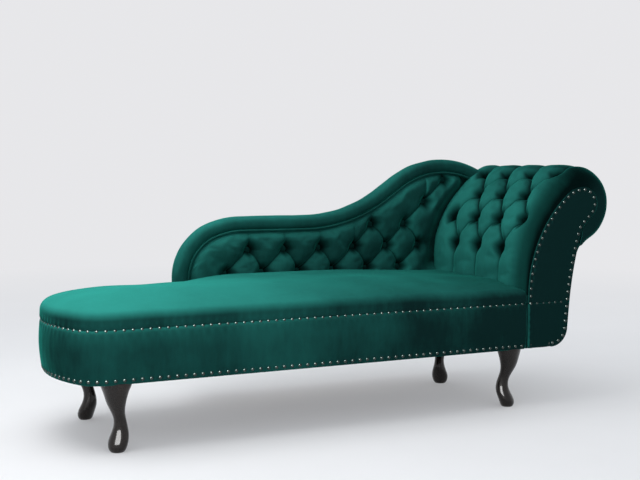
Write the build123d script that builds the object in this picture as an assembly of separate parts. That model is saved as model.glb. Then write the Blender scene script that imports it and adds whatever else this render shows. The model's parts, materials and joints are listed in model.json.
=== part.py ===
from build123d import *
import math
import os

# Chaise longue. Millimetres, Z up, X towards the head arm, Y towards the backrest.
# The origin lies on the floor under the middle of the whole piece.

# Seat base
BASE_LENGTH = 1360       # foot end to the joint with the head arm, at the nail rows
BASE_DEPTH = 462         # front to back, at the nail rows
LEG_HEIGHT = 178         # floor to the underside of the base
BORDER_HEIGHT = 142      # velvet band round the base
BORDER_SKIN = 3          # velvet and wadding
BORDER_SWELL = 8         # how far the band swells out between its nail rows
NAIL_EDGE = 9            # nail row to the edge of the band
FOOT_RISE = 120          # how far the arched foot end stands out from the straight sides
FOOT_CORNER = 85         # corner radius of the arched foot end
RAIL_THICK = 18
RAIL_LIP = 4             # rails stand this far above the band
CROSS_THICK = 30
CROSS_HEIGHT = 90
CROSS_COUNT = 2
BLOCK_SIDE = 70
BLOCK_HEIGHT = 45

# Seat springs and cushion
SPRING_COUNT = 10
SPRING_WIRE = 3.6
SPRING_PITCH = 25        # from bar to bar of the zigzag
SPRING_HALF = 17         # half the straight length of a bar
CLIP_WIDTH = 20
CLIP_HEIGHT = 7
SEAT_RISE = 72           # top of the band to the crown of the cushion
SEAT_SIDE = 35           # top of the band to the crown's edge on the straight sides
SEAT_EDGE = 16           # rounded upper edge
SEAT_SKIN = 2.5

# Legs
LEG_INSET_FOOT = 142     # leg centre from the foot end
LEG_INSET_HEAD = 30      # leg centre from the head joint
LEG_INSET_SIDE = 40      # leg centre from the long sides
LEG_KNEE = (84, 72)      # widest, across and along the diagonal it splays on
LEG_BROW = (76, 67)
LEG_CALF = (57, 54)
LEG_SHIN = (40, 40)
LEG_ANKLE = (31, 34)
LEG_INSTEP = (44, 41)
LEG_TOE = (52, 45)
LEG_PAD = (44, 40)
LEG_SOLE = (34, 32)
CALF_SET = 1             # how far the calf stands out from the knee
SHIN_SET = 4             # how far each lower section is set in from the knee
ANKLE_SET = 17
INSTEP_SET = 16
TOE_SET = 8
SOLE_SET = 3
LEG_BOLT_DEEP = 30       # leg bolt in the leg

# Head arm, drawn on its nail line in the front plane
HEAD_BEHIND = 47         # how far the arm reaches behind the seat base
PANEL_THICK = 18
FACING_SKIN = 3
NAIL_LAP = 10            # nail line to the edge of the scroll panel
LINING_THICK = 9.4       # lining between base and arm, below the pad
SCROLL_START = 159       # underside of the base to the start of the scroll's curve
SCROLL_SWEEP = 380       # large radius of the inner curve
SCROLL_TURN = 50
SCROLL_NECK = 90         # smaller radius that leads into the scroll
SCROLL_EYE = 42          # radius of the scroll itself
EYE_TURN = 137
EYE_TAIL = 45            # straight below the scroll
OUTER_HOLLOW = 45        # hollow radius under the scroll
OUTER_HOLLOW_TURN = 30
OUTER_SWEEP = 1100
OUTER_SWEEP_TURN = 12
OUTER_CORNER = 45        # rounded lower corner
BOARD_THICK = 4
STRETCHER = 36           # square of the timbers between the scroll panels
CORE_WALL = 5
OUTER_SKIN = 2.5

# Head pad
PAD_FOOT = 25            # pad thickness where it meets the seat
PAD_START = 222          # underside of the base to the start of the pad's curve
PAD_SWEEP = 330
PAD_TURN = 45
PAD_STRAIGHT = 75
PAD_ROLL = 114           # radius of the rolled top
PAD_TUCK = 150           # heading, below level, at which the roll tucks under
PAD_TAIL = 92            # straight tuck up to the outside of the arm
PAD_EDGE = 30            # rounded front and rear edges

# Backrest
BACK_REACH = 932         # left end of the backrest from the head joint
BACK_SIDE = 200          # underside of the base to the start of the left shoulder
SHOULDER_LOW = 180       # radius of the shoulder, and its flatter upper end
SHOULDER_HIGH = 300
SHOULDER_TURN = 70
BACK_FLAT = 209          # level stretch of the top edge
RISE_HOLLOW = 480
RISE_TURN = 34.5
RISE_RUN = 66
CREST = 330              # radius of the crest
CREST_FALL = 30
BACK_CORNER = 42         # rounded end behind the head arm
PAD_THICK = 52           # pad and border, front to back
BACK_PANEL_THICK = 18
BATTEN = 37
BACK_SKIN = 4
BACK_INSET = 22          # how far the panel and its cover stand inside the border roll
BORDER_WIDE = 40         # border roll along the top edge
BORDER_ROUND = 17
PIPING = 2.6             # radius
LOWER_RAIL_HEIGHT = 120

# Buttoning
BUTTON = 9               # radius
BUTTON_SEAT = 26         # how deep the buttons are drawn in
TUFT_MOUTH = 27          # radius of the hollow at the surface
PLEAT_DEEP = 11
PLEAT_WIDE = 13
HEAD_PITCH = 127         # between head buttons, front to back
HEAD_ROWS = 95           # between head rows, along the pad
HEAD_FIRST_ROW = 78      # first head row from the start of the pad's curve
BACK_PITCH = 122
BACK_ROWS = 72
BACK_FIRST_ROW = 212     # first backrest row above the underside of the base
BACK_FIRST_COLUMN = 240  # first button of the long row from the left end

# Nails, bolts and clearances
NAIL = 4.8               # dome radius
NAIL_RISE = 2.8
NAIL_PITCH = 22.5
BOLT = 4                 # M8 radius
BOLT_HEAD = 6.5
BOLT_HEAD_HIGH = 5
WASHER = 9
WASHER_THICK = 1.6
NUT = 6                  # insert nut radius
SLEEVE = 5               # tee nut sleeve radius
NUT_FLANGE = 8.5
NUT_LENGTH = 10
DUST = 1
OVER = 1                 # how far cuts run past a face
FIT = 0.3                # between curved or soft neighbours
HOLE_FIT = 0.2

# Places that follow from the sizes
HEAD_EDGE = LINING_THICK + 2 * FIT
HEAD_REACH = (HEAD_EDGE - PAD_FOOT + PAD_SWEEP * (1 - math.cos(math.radians(PAD_TURN)))
              + (PAD_STRAIGHT + PAD_ROLL) * math.cos(math.radians(PAD_TURN)) + PAD_ROLL)
LENGTH = BORDER_SWELL + BASE_LENGTH + HEAD_REACH
X_FOOT = BORDER_SWELL - LENGTH / 2
X_JOINT = X_FOOT + BASE_LENGTH
X_SPRING = X_FOOT + FOOT_RISE
X_PANEL = X_JOINT + HEAD_EDGE
X_BACK = X_JOINT - BACK_REACH
DEPTH = BASE_DEPTH + 2 * BORDER_SWELL + FIT + PAD_THICK + BACK_PANEL_THICK + BATTEN + BACK_SKIN
Y_FRONT = BORDER_SWELL - DEPTH / 2
Y_REAR = Y_FRONT + BASE_DEPTH
Y_MID = (Y_FRONT + Y_REAR) / 2
Y_BACK = Y_REAR + BORDER_SWELL + FIT
Y_PANEL = Y_BACK + PAD_THICK
Y_BATTEN = Y_PANEL + BACK_PANEL_THICK
Y_END = Y_BATTEN + BATTEN + BACK_SKIN
Y_HEAD = Y_REAR + HEAD_BEHIND
Z_BASE = LEG_HEIGHT
Z_BAND = Z_BASE + BORDER_HEIGHT
Z_NAIL_LOW = Z_BASE + NAIL_EDGE
Z_NAIL_HIGH = Z_BAND - NAIL_EDGE
Z_RAIL = Z_BAND + RAIL_LIP
RAIL_INSET = BORDER_SKIN + FIT
INNER = RAIL_INSET + RAIL_THICK


def run_points(start, heading, steps, offset=0.0):
    """Lines (length, 0) and tangent arcs (radius, turn): corner points, arc midpoints and headings.
    A positive turn goes left. The whole run is moved to its left by offset."""
    turn = math.radians(heading)
    x = start[0] - offset * math.sin(turn)
    y = start[1] + offset * math.cos(turn)
    pieces = []
    for size, bend in steps:
        if bend == 0:
            end = (x + size * math.cos(turn), y + size * math.sin(turn))
            pieces.append(((x, y), None, end, turn, turn, size))
        else:
            side = 1 if bend > 0 else -1
            radius = size - side * offset
            cx = x - side * radius * math.sin(turn)
            cy = y + side * radius * math.cos(turn)
            after = turn + math.radians(bend)
            half = (turn + after) / 2
            mid = (cx + side * radius * math.sin(half), cy - side * radius * math.cos(half))
            end = (cx + side * radius * math.sin(after), cy - side * radius * math.cos(after))
            pieces.append(((x, y), mid, end, turn, after, radius * abs(math.radians(bend))))
            turn = after
        x, y = end
    return pieces


def flat(point):
    """A plan point."""
    return (point[0], point[1], 0)


def upright(point):
    """An elevation point, in the XZ plane."""
    return (point[0], 0, point[1])


def run_edges(pieces, place):
    """The edges of a run, set in a plane by place."""
    edges = []
    for a, mid, b, _, _, _ in pieces:
        if mid is None:
            edges.append(Line(place(a), place(b)))
        else:
            edges.append(ThreePointArc(place(a), place(mid), place(b)))
    return edges


def closed_face(pieces, place, extra=()):
    """A face inside a run that is closed with straight lines through the extra points."""
    edges = run_edges(pieces, place)
    points = [pieces[-1][2], *extra, pieces[0][0]]
    for a, b in zip(points, points[1:]):
        edges.append(Line(place(a), place(b)))
    return make_face(edges)


def strip_face(start, heading, steps, place, left, right):
    """The strip between two offsets of one run."""
    one = run_points(start, heading, steps, left)
    two = run_points(start, heading, steps, right)
    edges = run_edges(one, place) + run_edges(two, place)
    edges.append(Line(place(one[-1][2]), place(two[-1][2])))
    edges.append(Line(place(two[0][0]), place(one[0][0])))
    return make_face(edges)


def along_run(pieces, pitch, first=0.0, last=0.0):
    """Evenly pitched points on a run with their headings."""
    total = sum(piece[5] for piece in pieces)
    count = max(1, round((total - first - last) / pitch))
    found = []
    for i in range(count + 1):
        s = first + (total - first - last) * i / count
        found.append(point_on_run(pieces, s))
    return found


def point_on_run(pieces, s):
    """Point and heading at the length s along a run."""
    for a, mid, b, h0, h1, length in pieces:
        if s <= length or b == pieces[-1][2]:
            break
        s -= length
    share = s / length
    heading = h0 + (h1 - h0) * share
    if mid is None:
        return (a[0] + (b[0] - a[0]) * share, a[1] + (b[1] - a[1]) * share), heading
    side = 1 if h1 > h0 else -1
    radius = length / abs(h1 - h0)
    cx = a[0] - side * radius * math.sin(h0)
    cy = a[1] + side * radius * math.cos(h0)
    return (cx + side * radius * math.sin(heading), cy - side * radius * math.cos(heading)), heading


def box(x0, x1, y0, y1, z0, z1):
    """A block between six planes."""
    solid = Box(x1 - x0, y1 - y0, z1 - z0)
    return Pos((x0 + x1) / 2, (y0 + y1) / 2, (z0 + z1) / 2) * solid


def rod(start, direction, radius, length):
    """A round bar from a point along a direction."""
    solid = Cylinder(radius, length, align=(Align.CENTER, Align.CENTER, Align.MIN))
    return Plane(origin=start, z_dir=direction) * solid


def prism(face, y0, y1):
    """An elevation face made thick from y0 to y1."""
    return Pos(0, y0, 0) * extrude(face, amount=y1 - y0, dir=(0, 1, 0))


def slab(face, z0, z1):
    """A plan face made thick from z0 to z1."""
    return Pos(0, 0, z0) * extrude(face, amount=z1 - z0, dir=(0, 0, 1))


def save(name, *solids):
    """Write one node."""
    shape = solids[0] if len(solids) == 1 else Compound(children=list(solids))
    shape.label = name
    export_step(shape, f"parts/{name}.step")


os.makedirs("parts", exist_ok=True)

# Plan of the base: straight sides and an arch of three arcs at the foot end
half_depth = BASE_DEPTH / 2
foot_crown = ((FOOT_CORNER ** 2 - FOOT_RISE ** 2 - (half_depth - FOOT_CORNER) ** 2)
              / (2 * (FOOT_CORNER - FOOT_RISE)))
crown_turn = math.degrees(math.asin((half_depth - FOOT_CORNER) / (foot_crown - FOOT_CORNER)))
side_run = X_JOINT - X_SPRING
plan_start = (X_JOINT, Y_FRONT)
plan_steps = [(side_run, 0), (FOOT_CORNER, crown_turn - 90), (foot_crown, -2 * crown_turn),
              (FOOT_CORNER, crown_turn - 90), (side_run, 0)]


def plan(offset):
    """The plan of the base, moved out by offset."""
    return run_points(plan_start, 180, plan_steps, offset)


def base_face(offset):
    """The face inside the plan."""
    return closed_face(plan(offset), flat)


# Border band: one profile, swollen between the nail rows, carried round the plan
flat_band = 2 * NAIL_EDGE
profile_edges = [
    Line((X_JOINT, Y_FRONT + BORDER_SKIN, Z_BASE), (X_JOINT, Y_FRONT, Z_BASE)),
    Line((X_JOINT, Y_FRONT, Z_BASE), (X_JOINT, Y_FRONT, Z_BASE + flat_band)),
    ThreePointArc((X_JOINT, Y_FRONT, Z_BASE + flat_band),
                  (X_JOINT, Y_FRONT - BORDER_SWELL, (Z_BASE + Z_BAND) / 2),
                  (X_JOINT, Y_FRONT, Z_BAND - flat_band)),
    Line((X_JOINT, Y_FRONT, Z_BAND - flat_band), (X_JOINT, Y_FRONT, Z_BAND)),
    Line((X_JOINT, Y_FRONT, Z_BAND), (X_JOINT, Y_FRONT + BORDER_SKIN, Z_BAND)),
    Line((X_JOINT, Y_FRONT + BORDER_SKIN, Z_BAND), (X_JOINT, Y_FRONT + BORDER_SKIN, Z_BASE)),
]
border = sweep(make_face(profile_edges), path=Wire(run_edges(plan(0), flat)))

# Seat frame
front_rail = box(X_SPRING, X_JOINT, Y_FRONT + RAIL_INSET, Y_FRONT + INNER, Z_BASE, Z_RAIL)
back_rail = box(X_SPRING, X_JOINT, Y_REAR - INNER, Y_REAR - RAIL_INSET, Z_BASE, Z_RAIL)
head_rail = box(X_JOINT - RAIL_THICK, X_JOINT, Y_FRONT + INNER, Y_REAR - INNER, Z_BASE, Z_RAIL)
foot_rail = slab(strip_face((X_SPRING, Y_FRONT), 180, plan_steps[1:4], flat, -RAIL_INSET, -INNER),
                 Z_BASE, Z_RAIL)
cross_gap = side_run / (CROSS_COUNT + 1)
cross_x = [X_SPRING + cross_gap * (i + 1) for i in range(CROSS_COUNT)]
cross_rails = []
for x in cross_x:
    cross_rails.append(box(x - CROSS_THICK / 2, x + CROSS_THICK / 2, Y_FRONT + INNER, Y_REAR - INNER,
                           Z_BASE, Z_BASE + CROSS_HEIGHT))

# Legs, each splayed along the diagonal of its corner
leg_x = {"foot": X_FOOT + LEG_INSET_FOOT, "head": X_JOINT - LEG_INSET_HEAD}
leg_y = {"front": Y_FRONT + LEG_INSET_SIDE, "back": Y_REAR - LEG_INSET_SIDE}
leg_stations = [
    (0.0, LEG_SOLE, SOLE_SET), (0.035, LEG_PAD, SOLE_SET), (0.15, LEG_TOE, TOE_SET),
    (0.26, LEG_INSTEP, INSTEP_SET), (0.42, LEG_ANKLE, ANKLE_SET), (0.62, LEG_SHIN, SHIN_SET),
    (0.78, LEG_CALF, -CALF_SET), (0.92, LEG_BROW, -CALF_SET), (1.0, LEG_KNEE, 0),
]
legs = {}
leg_bolts = []
leg_nuts = []
corner_blocks = []
dust_cuts = []
for side, y in leg_y.items():
    for end, x in leg_x.items():
        out = Vector(1 if end == "head" else -1, 1 if side == "back" else -1, 0).normalized()
        sections = []
        for share, (across, along), inset in leg_stations:
            spot = Vector(x, y, LEG_HEIGHT * share) - out * inset
            sections.append(Plane(origin=spot, x_dir=out, z_dir=(0, 0, 1)) * Ellipse(along / 2, across / 2))
        bolt_hole = rod((x, y, Z_BASE - LEG_BOLT_DEEP), (0, 0, 1), BOLT, LEG_BOLT_DEEP)
        legs[f"leg_{side}_{end}"] = loft(sections) - bolt_hole
        dust_cuts.append(Plane(origin=(x, y, Z_BASE - 2 * DUST), x_dir=out, z_dir=(0, 0, 1))
                         * extrude(Ellipse(LEG_KNEE[1] / 2 + DUST, LEG_KNEE[0] / 2 + DUST), 3 * DUST))
        top = Z_BASE + BLOCK_HEIGHT
        leg_bolts.append(rod((x, y, Z_BASE - LEG_BOLT_DEEP), (0, 0, 1), BOLT, LEG_BOLT_DEEP + BLOCK_HEIGHT))
        nut = rod((x, y, top - NUT_LENGTH), (0, 0, 1), SLEEVE, NUT_LENGTH)
        nut += rod((x, y, top), (0, 0, 1), NUT_FLANGE, WASHER_THICK)
        leg_nuts.append(nut - rod((x, y, Z_BASE), (0, 0, 1), BOLT, BLOCK_HEIGHT + NUT_LENGTH))
        x0 = X_SPRING if end == "foot" else X_JOINT - RAIL_THICK - BLOCK_SIDE
        y0 = Y_FRONT + INNER if side == "front" else Y_REAR - INNER - BLOCK_SIDE
        block = box(x0, x0 + BLOCK_SIDE, y0, y0 + BLOCK_SIDE, Z_BASE, top)
        block -= rod((x, y, Z_BASE), (0, 0, 1), BOLT + HOLE_FIT, BLOCK_HEIGHT)
        corner_blocks.append(block - rod((x, y, top - NUT_LENGTH), (0, 0, 1), SLEEVE, NUT_LENGTH))
dust_cover = slab(base_face(-RAIL_INSET), Z_BASE - DUST, Z_BASE)
for cut in dust_cuts:
    dust_cover -= cut
for y0, y1 in ((Y_FRONT, leg_y["front"]), (leg_y["back"], Y_REAR)):
    dust_cover -= box(leg_x["head"], X_JOINT, y0, y1, 0, Z_BASE)

# Zigzag springs between front and back rails, each end bar held in a clip on the rail
spring_room = BASE_DEPTH - 2 * INNER
bar_count = 2 * int((spring_room - CLIP_HEIGHT * 2) / SPRING_PITCH / 2) + 1
z_spring = Z_RAIL - SPRING_WIRE / 2 - FIT
first_bar = -(bar_count - 1) / 2 * SPRING_PITCH
path = []
for i in range(bar_count):
    y = Y_MID + first_bar + i * SPRING_PITCH
    side = 1 if i % 2 == 0 else -1
    path.append(Line((-side * SPRING_HALF, y, z_spring), (side * SPRING_HALF, y, z_spring)))
    if i < bar_count - 1:
        loop = SPRING_PITCH / 2
        path.append(ThreePointArc((side * SPRING_HALF, y, z_spring),
                                  (side * (SPRING_HALF + loop), y + loop, z_spring),
                                  (side * SPRING_HALF, y + SPRING_PITCH, z_spring)))
wire_start = Plane(origin=(-SPRING_HALF, Y_MID + first_bar, z_spring), z_dir=(1, 0, 0))
spring = sweep(wire_start * Circle(SPRING_WIRE / 2), path=Wire(path))
clip_reach = spring_room / 2 + first_bar
clip_bore = SPRING_WIRE / 2 + FIT / 2
clip_hole = rod((-CLIP_WIDTH, Y_MID + first_bar, z_spring), (1, 0, 0), clip_bore, 2 * CLIP_WIDTH)
clip = box(-CLIP_WIDTH / 2, CLIP_WIDTH / 2, Y_FRONT + INNER, Y_FRONT + INNER + clip_reach + CLIP_HEIGHT / 2,
           z_spring - CLIP_HEIGHT, Z_RAIL) - clip_hole
spring_first = X_SPRING + SPRING_PITCH + SPRING_HALF
spring_last = X_JOINT - RAIL_THICK - SPRING_PITCH - SPRING_HALF
springs = []
clips = []
for i in range(SPRING_COUNT):
    x = spring_first + (spring_last - spring_first) * i / (SPRING_COUNT - 1)
    springs.append(Pos(x, 0, 0) * spring)
    clips.append(Pos(x, 0, 0) * clip)
    clips.append(Pos(x, 0, 0) * Pos(0, 2 * Y_MID, 0) * mirror(clip, about=Plane.XZ))


# Seat cushion: crowned across, domed at the foot end, with a rounded upper edge on the free sides
crown_fall = SEAT_RISE - SEAT_SIDE
seat_crown = (half_depth ** 2 + crown_fall ** 2) / (2 * crown_fall)


def seat_form(inset, z_low):
    """The cushion's outer form, drawn in by inset, from z_low up."""
    top = Z_BAND + SEAT_RISE - inset
    radius = seat_crown - inset
    x_dome = X_FOOT + half_depth
    form = slab(base_face(-inset), z_low, top + OVER)
    crown = rod((x_dome, Y_MID, top - radius), (1, 0, 0), radius, LENGTH)
    crown += Pos(x_dome, Y_MID, top - radius) * Sphere(radius)
    form = form & crown
    upper = [face for face in form.faces() if face.center().Z > Z_RAIL and face.normal_at().Z > 0.5]
    shared = [edge for face in upper for edge in face.edges()]
    rim = [edge for edge in shared if shared.count(edge) == 1 and edge.center().X < X_JOINT - OVER]
    return fillet(rim, SEAT_EDGE - inset)


seat_cover = seat_form(0, Z_BAND) - seat_form(SEAT_SKIN, Z_BAND - OVER)
seat_foam = seat_form(SEAT_SKIN + FIT, Z_RAIL)

# Head arm: the scroll, drawn along its nail line from the inner foot over the top and down outside
face_start = (X_PANEL + NAIL_LAP, Z_BASE + NAIL_LAP)
inner_steps = [(SCROLL_START - NAIL_LAP, 0), (SCROLL_SWEEP, -SCROLL_TURN),
               (SCROLL_NECK, SCROLL_TURN - 90), (SCROLL_EYE, -EYE_TURN), (EYE_TAIL, 0)]
outer_bends = [(OUTER_HOLLOW, OUTER_HOLLOW_TURN), (OUTER_SWEEP, OUTER_SWEEP_TURN)]
upper_run = run_points(face_start, 90, inner_steps + outer_bends)
hollow_start = upper_run[len(inner_steps)][0]
corner_turn = 180 - EYE_TURN + OUTER_HOLLOW_TURN + OUTER_SWEEP_TURN
drop = (upper_run[-1][2][1] - face_start[1] - OUTER_CORNER * (1 - math.cos(math.radians(corner_turn))))
outer_steps = outer_bends + [(drop / math.sin(math.radians(corner_turn)), 0), (OUTER_CORNER, -corner_turn)]
face_steps = inner_steps + outer_steps


def scroll(offset):
    """The scroll outline, moved out by offset from the nail line."""
    return run_points(face_start, 90, face_steps, offset)


def scroll_face(offset):
    """The face inside the scroll outline, square at its inner foot."""
    pieces = scroll(offset)
    return closed_face(pieces, upright, [(pieces[0][0][0], pieces[-1][2][1])])


Y_BOARD = Y_FRONT + FACING_SKIN + PANEL_THICK
Y_BOARD_END = Y_HEAD - FACING_SKIN - PANEL_THICK
panel_face = scroll_face(NAIL_LAP)
front_panel = prism(panel_face, Y_FRONT + FACING_SKIN, Y_BOARD)
rear_panel = prism(panel_face, Y_BOARD_END, Y_HEAD - FACING_SKIN)
sky = Z_BASE + 2 * LENGTH
above = box(-LENGTH, LENGTH, -DEPTH, DEPTH, Z_NAIL_HIGH + FIT / 2, sky)
below = box(-LENGTH, LENGTH, -DEPTH, DEPTH, 0, Z_NAIL_HIGH - FIT / 2)
front_facing = prism(panel_face, Y_FRONT, Y_FRONT + FACING_SKIN)
apron = front_facing & below
front_facing = front_facing & above
rear_facing = prism(panel_face, Y_HEAD - FACING_SKIN, Y_HEAD)
low_board = NAIL_LAP - BOARD_THICK
inner_board = prism(strip_face(face_start, 90, inner_steps, upright, NAIL_LAP, low_board),
                    Y_BOARD, Y_BOARD_END)
outer_board = prism(strip_face(hollow_start, -EYE_TURN, outer_steps, upright, NAIL_LAP, low_board),
                    Y_BOARD, Y_BOARD_END)
outer_cover = prism(strip_face(hollow_start, -EYE_TURN, outer_steps, upright,
                               NAIL_LAP + FIT + OUTER_SKIN, NAIL_LAP + FIT), Y_FRONT, Y_HEAD)
eye = upper_run[3]
eye_x = eye[0][0]
eye_z = eye[0][1] - SCROLL_EYE
core_radius = SCROLL_EYE + low_board - FIT
core = rod((eye_x, Y_BOARD, eye_z), (0, 1, 0), core_radius, Y_BOARD_END - Y_BOARD)
core -= rod((eye_x, Y_BOARD, eye_z), (0, 1, 0), core_radius - CORE_WALL, Y_BOARD_END - Y_BOARD)
x_stretch = X_PANEL + BOARD_THICK
stretch_low = Z_BASE + 2 * NAIL_LAP
stretch_high = Z_NAIL_HIGH - STRETCHER
stretchers = [
    box(x_stretch, x_stretch + STRETCHER, Y_BOARD, Y_BOARD_END, stretch_low, stretch_low + STRETCHER),
    box(x_stretch, x_stretch + STRETCHER, Y_BOARD, Y_BOARD_END, stretch_high, stretch_high + STRETCHER),
]
corner_x = scroll(0)[-1][2][0]
bottom_stretcher = box(corner_x - STRETCHER, corner_x, Y_BOARD, Y_BOARD_END, Z_BASE, Z_BASE + STRETCHER)
lining = box(X_JOINT + FIT, X_PANEL - FIT, Y_FRONT, Y_HEAD, Z_BASE, Z_BASE + SCROLL_START)
head_dust = box(X_PANEL, corner_x, Y_FRONT, Y_HEAD, Z_BASE - DUST, Z_BASE)
for cut in dust_cuts:
    head_dust -= cut

# Head pad: up the inside of the arm, over the roll and tucked under it
x_pad = X_PANEL - PAD_FOOT
pad_start = (x_pad, Z_BASE + SCROLL_START + FIT)
pad_steps = [(PAD_START - SCROLL_START - FIT, 0), (PAD_SWEEP, -PAD_TURN), (PAD_STRAIGHT, 0),
             (PAD_ROLL, PAD_TURN - 90 - PAD_TUCK), (PAD_TAIL, 0)]


def pad_face(offset):
    """The face inside the pad's outer line, closed through the inside of the arm."""
    pieces = run_points(pad_start, 90, pad_steps, offset)
    end = pieces[-1][2]
    return closed_face(pieces, upright, [(end[0] - PAD_TAIL / 2, end[1] + PAD_TAIL / 2),
                                         (x_stretch + STRETCHER, pad_start[1])])


def edges_on_run(solid, pieces):
    """The edges of a prism whose midpoints lie on the pieces of a run."""
    found = []
    for edge in solid.edges():
        spot = edge @ 0.5
        for piece in pieces:
            on_run, _ = point_on_run([piece], piece[5] / 2)
            if math.dist((spot.X, spot.Z), on_run) < OVER:
                found.append(edge)
    return found


pad_block = prism(pad_face(0), Y_FRONT, Y_HEAD)
pad_block = fillet(edges_on_run(pad_block, run_points(pad_start, 90, pad_steps)), PAD_EDGE)
head_pad = pad_block - prism(scroll_face(NAIL_LAP + FIT), Y_FRONT, Y_HEAD)
head_pad -= prism(strip_face(hollow_start, -EYE_TURN, outer_steps, upright,
                             NAIL_LAP + 2 * FIT + OUTER_SKIN, 0), Y_FRONT, Y_HEAD)
head_pad -= seat_form(-FIT, Z_BASE)


def tuft_cut(spot, normal):
    """The hollow that a button is drawn into."""
    cone = Cone(BUTTON + FIT, TUFT_MOUTH, BUTTON_SEAT, align=(Align.CENTER, Align.CENTER, Align.MIN))
    return Plane(origin=spot - normal * BUTTON_SEAT, z_dir=normal) * cone


def pleat_cut(one, two, normal):
    """The fold that runs between two spots on the surface."""
    lift = PLEAT_DEEP
    wide = PLEAT_WIDE / 2 * (PLEAT_DEEP + lift) / PLEAT_DEEP
    along = (two - one).normalized()
    level = (normal - along * normal.dot(along)).normalized()
    side = level.cross(along)
    wedge = make_face(Polyline((0, -PLEAT_DEEP), (wide, lift), (-wide, lift), close=True))
    return extrude(Plane(origin=one, x_dir=side, z_dir=along) * wedge, amount=(two - one).length)


def button(spot, normal):
    """A covered button on its seat: a low dome on a short drum."""
    dome = Sphere(BUTTON) & Pos(0, 0, BUTTON) * Box(3 * BUTTON, 3 * BUTTON, BUTTON)
    dome = Pos(0, 0, -BUTTON / 2) * dome
    return Plane(origin=spot - normal * (BUTTON_SEAT - FIT / 2), z_dir=normal) * dome


# Head buttons: staggered rows of three and four up the pad
pad_run = run_points(pad_start, 90, pad_steps)
y_tufts = (Y_FRONT + Y_HEAD) / 2
curve_start = PAD_START - SCROLL_START - FIT
head_spots = []
for row in range(4):
    count = 3 + row % 2
    (x, z), heading = point_on_run(pad_run, curve_start + HEAD_FIRST_ROW + row * HEAD_ROWS)
    normal = Vector(-math.sin(heading), 0, math.cos(heading))
    line = [(Vector(x, y_tufts + HEAD_PITCH * (i - (count - 1) / 2), z), normal) for i in range(count)]
    head_spots.append(line)
head_cuts = []
head_buttons = []
for row, line in enumerate(head_spots):
    for spot, normal in line:
        head_cuts.append(tuft_cut(spot, normal))
        head_buttons.append(button(spot, normal))
        for other, lean in head_spots[row + 1] if row < 3 else []:
            if abs(other.Y - spot.Y) < HEAD_PITCH:
                head_cuts.append(pleat_cut(spot, other, (normal + lean).normalized()))
        if row == 0:
            head_cuts.append(pleat_cut(spot, Vector(x_pad, spot.Y, Z_BAND + SEAT_RISE), normal))
head_pad = head_pad - head_cuts

# Backrest: outline of its top edge from the left foot over the crest to the end behind the arm
back_start = (X_BACK, Z_BASE)
top_steps = [(BACK_SIDE, 0), (SHOULDER_LOW, -SHOULDER_TURN), (SHOULDER_HIGH, SHOULDER_TURN - 90),
             (BACK_FLAT, 0), (RISE_HOLLOW, RISE_TURN), (RISE_RUN, 0), (CREST, -RISE_TURN),
             (CREST, -CREST_FALL)]
end_steps = top_steps + [(BACK_CORNER, CREST_FALL - 90)]


def back_face(offset):
    """The face inside the backrest's outline, moved out by offset, down to the base's underside."""
    pieces = run_points(back_start, 90, end_steps, offset)
    end = pieces[-1][2]
    return closed_face(pieces, upright, [(end[0], Z_BASE)])


back_panel = prism(back_face(-BACK_INSET - BACK_SKIN - FIT), Y_PANEL, Y_BATTEN)
tray = prism(back_face(-BACK_INSET), Y_PANEL, Y_END)
outer_back = tray - prism(back_face(-BACK_INSET - BACK_SKIN), Y_PANEL, Y_END - BACK_SKIN)
lower_rail = box(X_BACK + BACK_SKIN, X_JOINT, Y_BACK, Y_PANEL, Z_BASE, Z_BASE + LOWER_RAIL_HEIGHT)
lower_top = Z_BASE + LOWER_RAIL_HEIGHT
head_space = prism(pad_face(FIT), Y_FRONT, Y_PANEL) + prism(scroll_face(NAIL_LAP + FIT), Y_FRONT, Y_PANEL)
head_space += box(X_JOINT, X_PANEL, Y_FRONT, Y_PANEL, Z_BASE, pad_start[1])

# Border roll along the top edge and the piping inside it
roll_start = (X_BACK, lower_top + FIT)
roll_steps = [(BACK_SIDE - LOWER_RAIL_HEIGHT - FIT, 0)] + top_steps[1:]
border_roll = prism(strip_face(roll_start, 90, roll_steps, upright, 0, -BORDER_WIDE), Y_BACK, Y_PANEL)
long_edges = [edge for edge in border_roll.edges() if edge.length > 1.5 * BORDER_WIDE]
round_edges = [edge for edge in long_edges if edge.center().Y < Y_BACK + FIT]
rear_edges = [edge for edge in long_edges if edge.center().Y > Y_PANEL - FIT]
outer_run = run_points(roll_start, 90, roll_steps)
outer_edges = edges_on_run(border_roll, outer_run)
round_edges += [edge for edge in rear_edges if edge in outer_edges]
border_roll = fillet(round_edges, BORDER_ROUND) - head_space
piping_line = run_points(roll_start, 90, roll_steps, -BORDER_WIDE - PIPING - FIT)
piping_y = Y_BACK + 3 * PIPING
piping_edges = [Pos(0, piping_y, 0) * edge for edge in run_edges(piping_line, upright)]
piping_start = Plane(origin=(piping_line[0][0][0], piping_y, piping_line[0][0][1]), z_dir=(0, 0, 1))
piping = sweep(piping_start * Circle(PIPING), path=Wire(piping_edges)) - head_space

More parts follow.
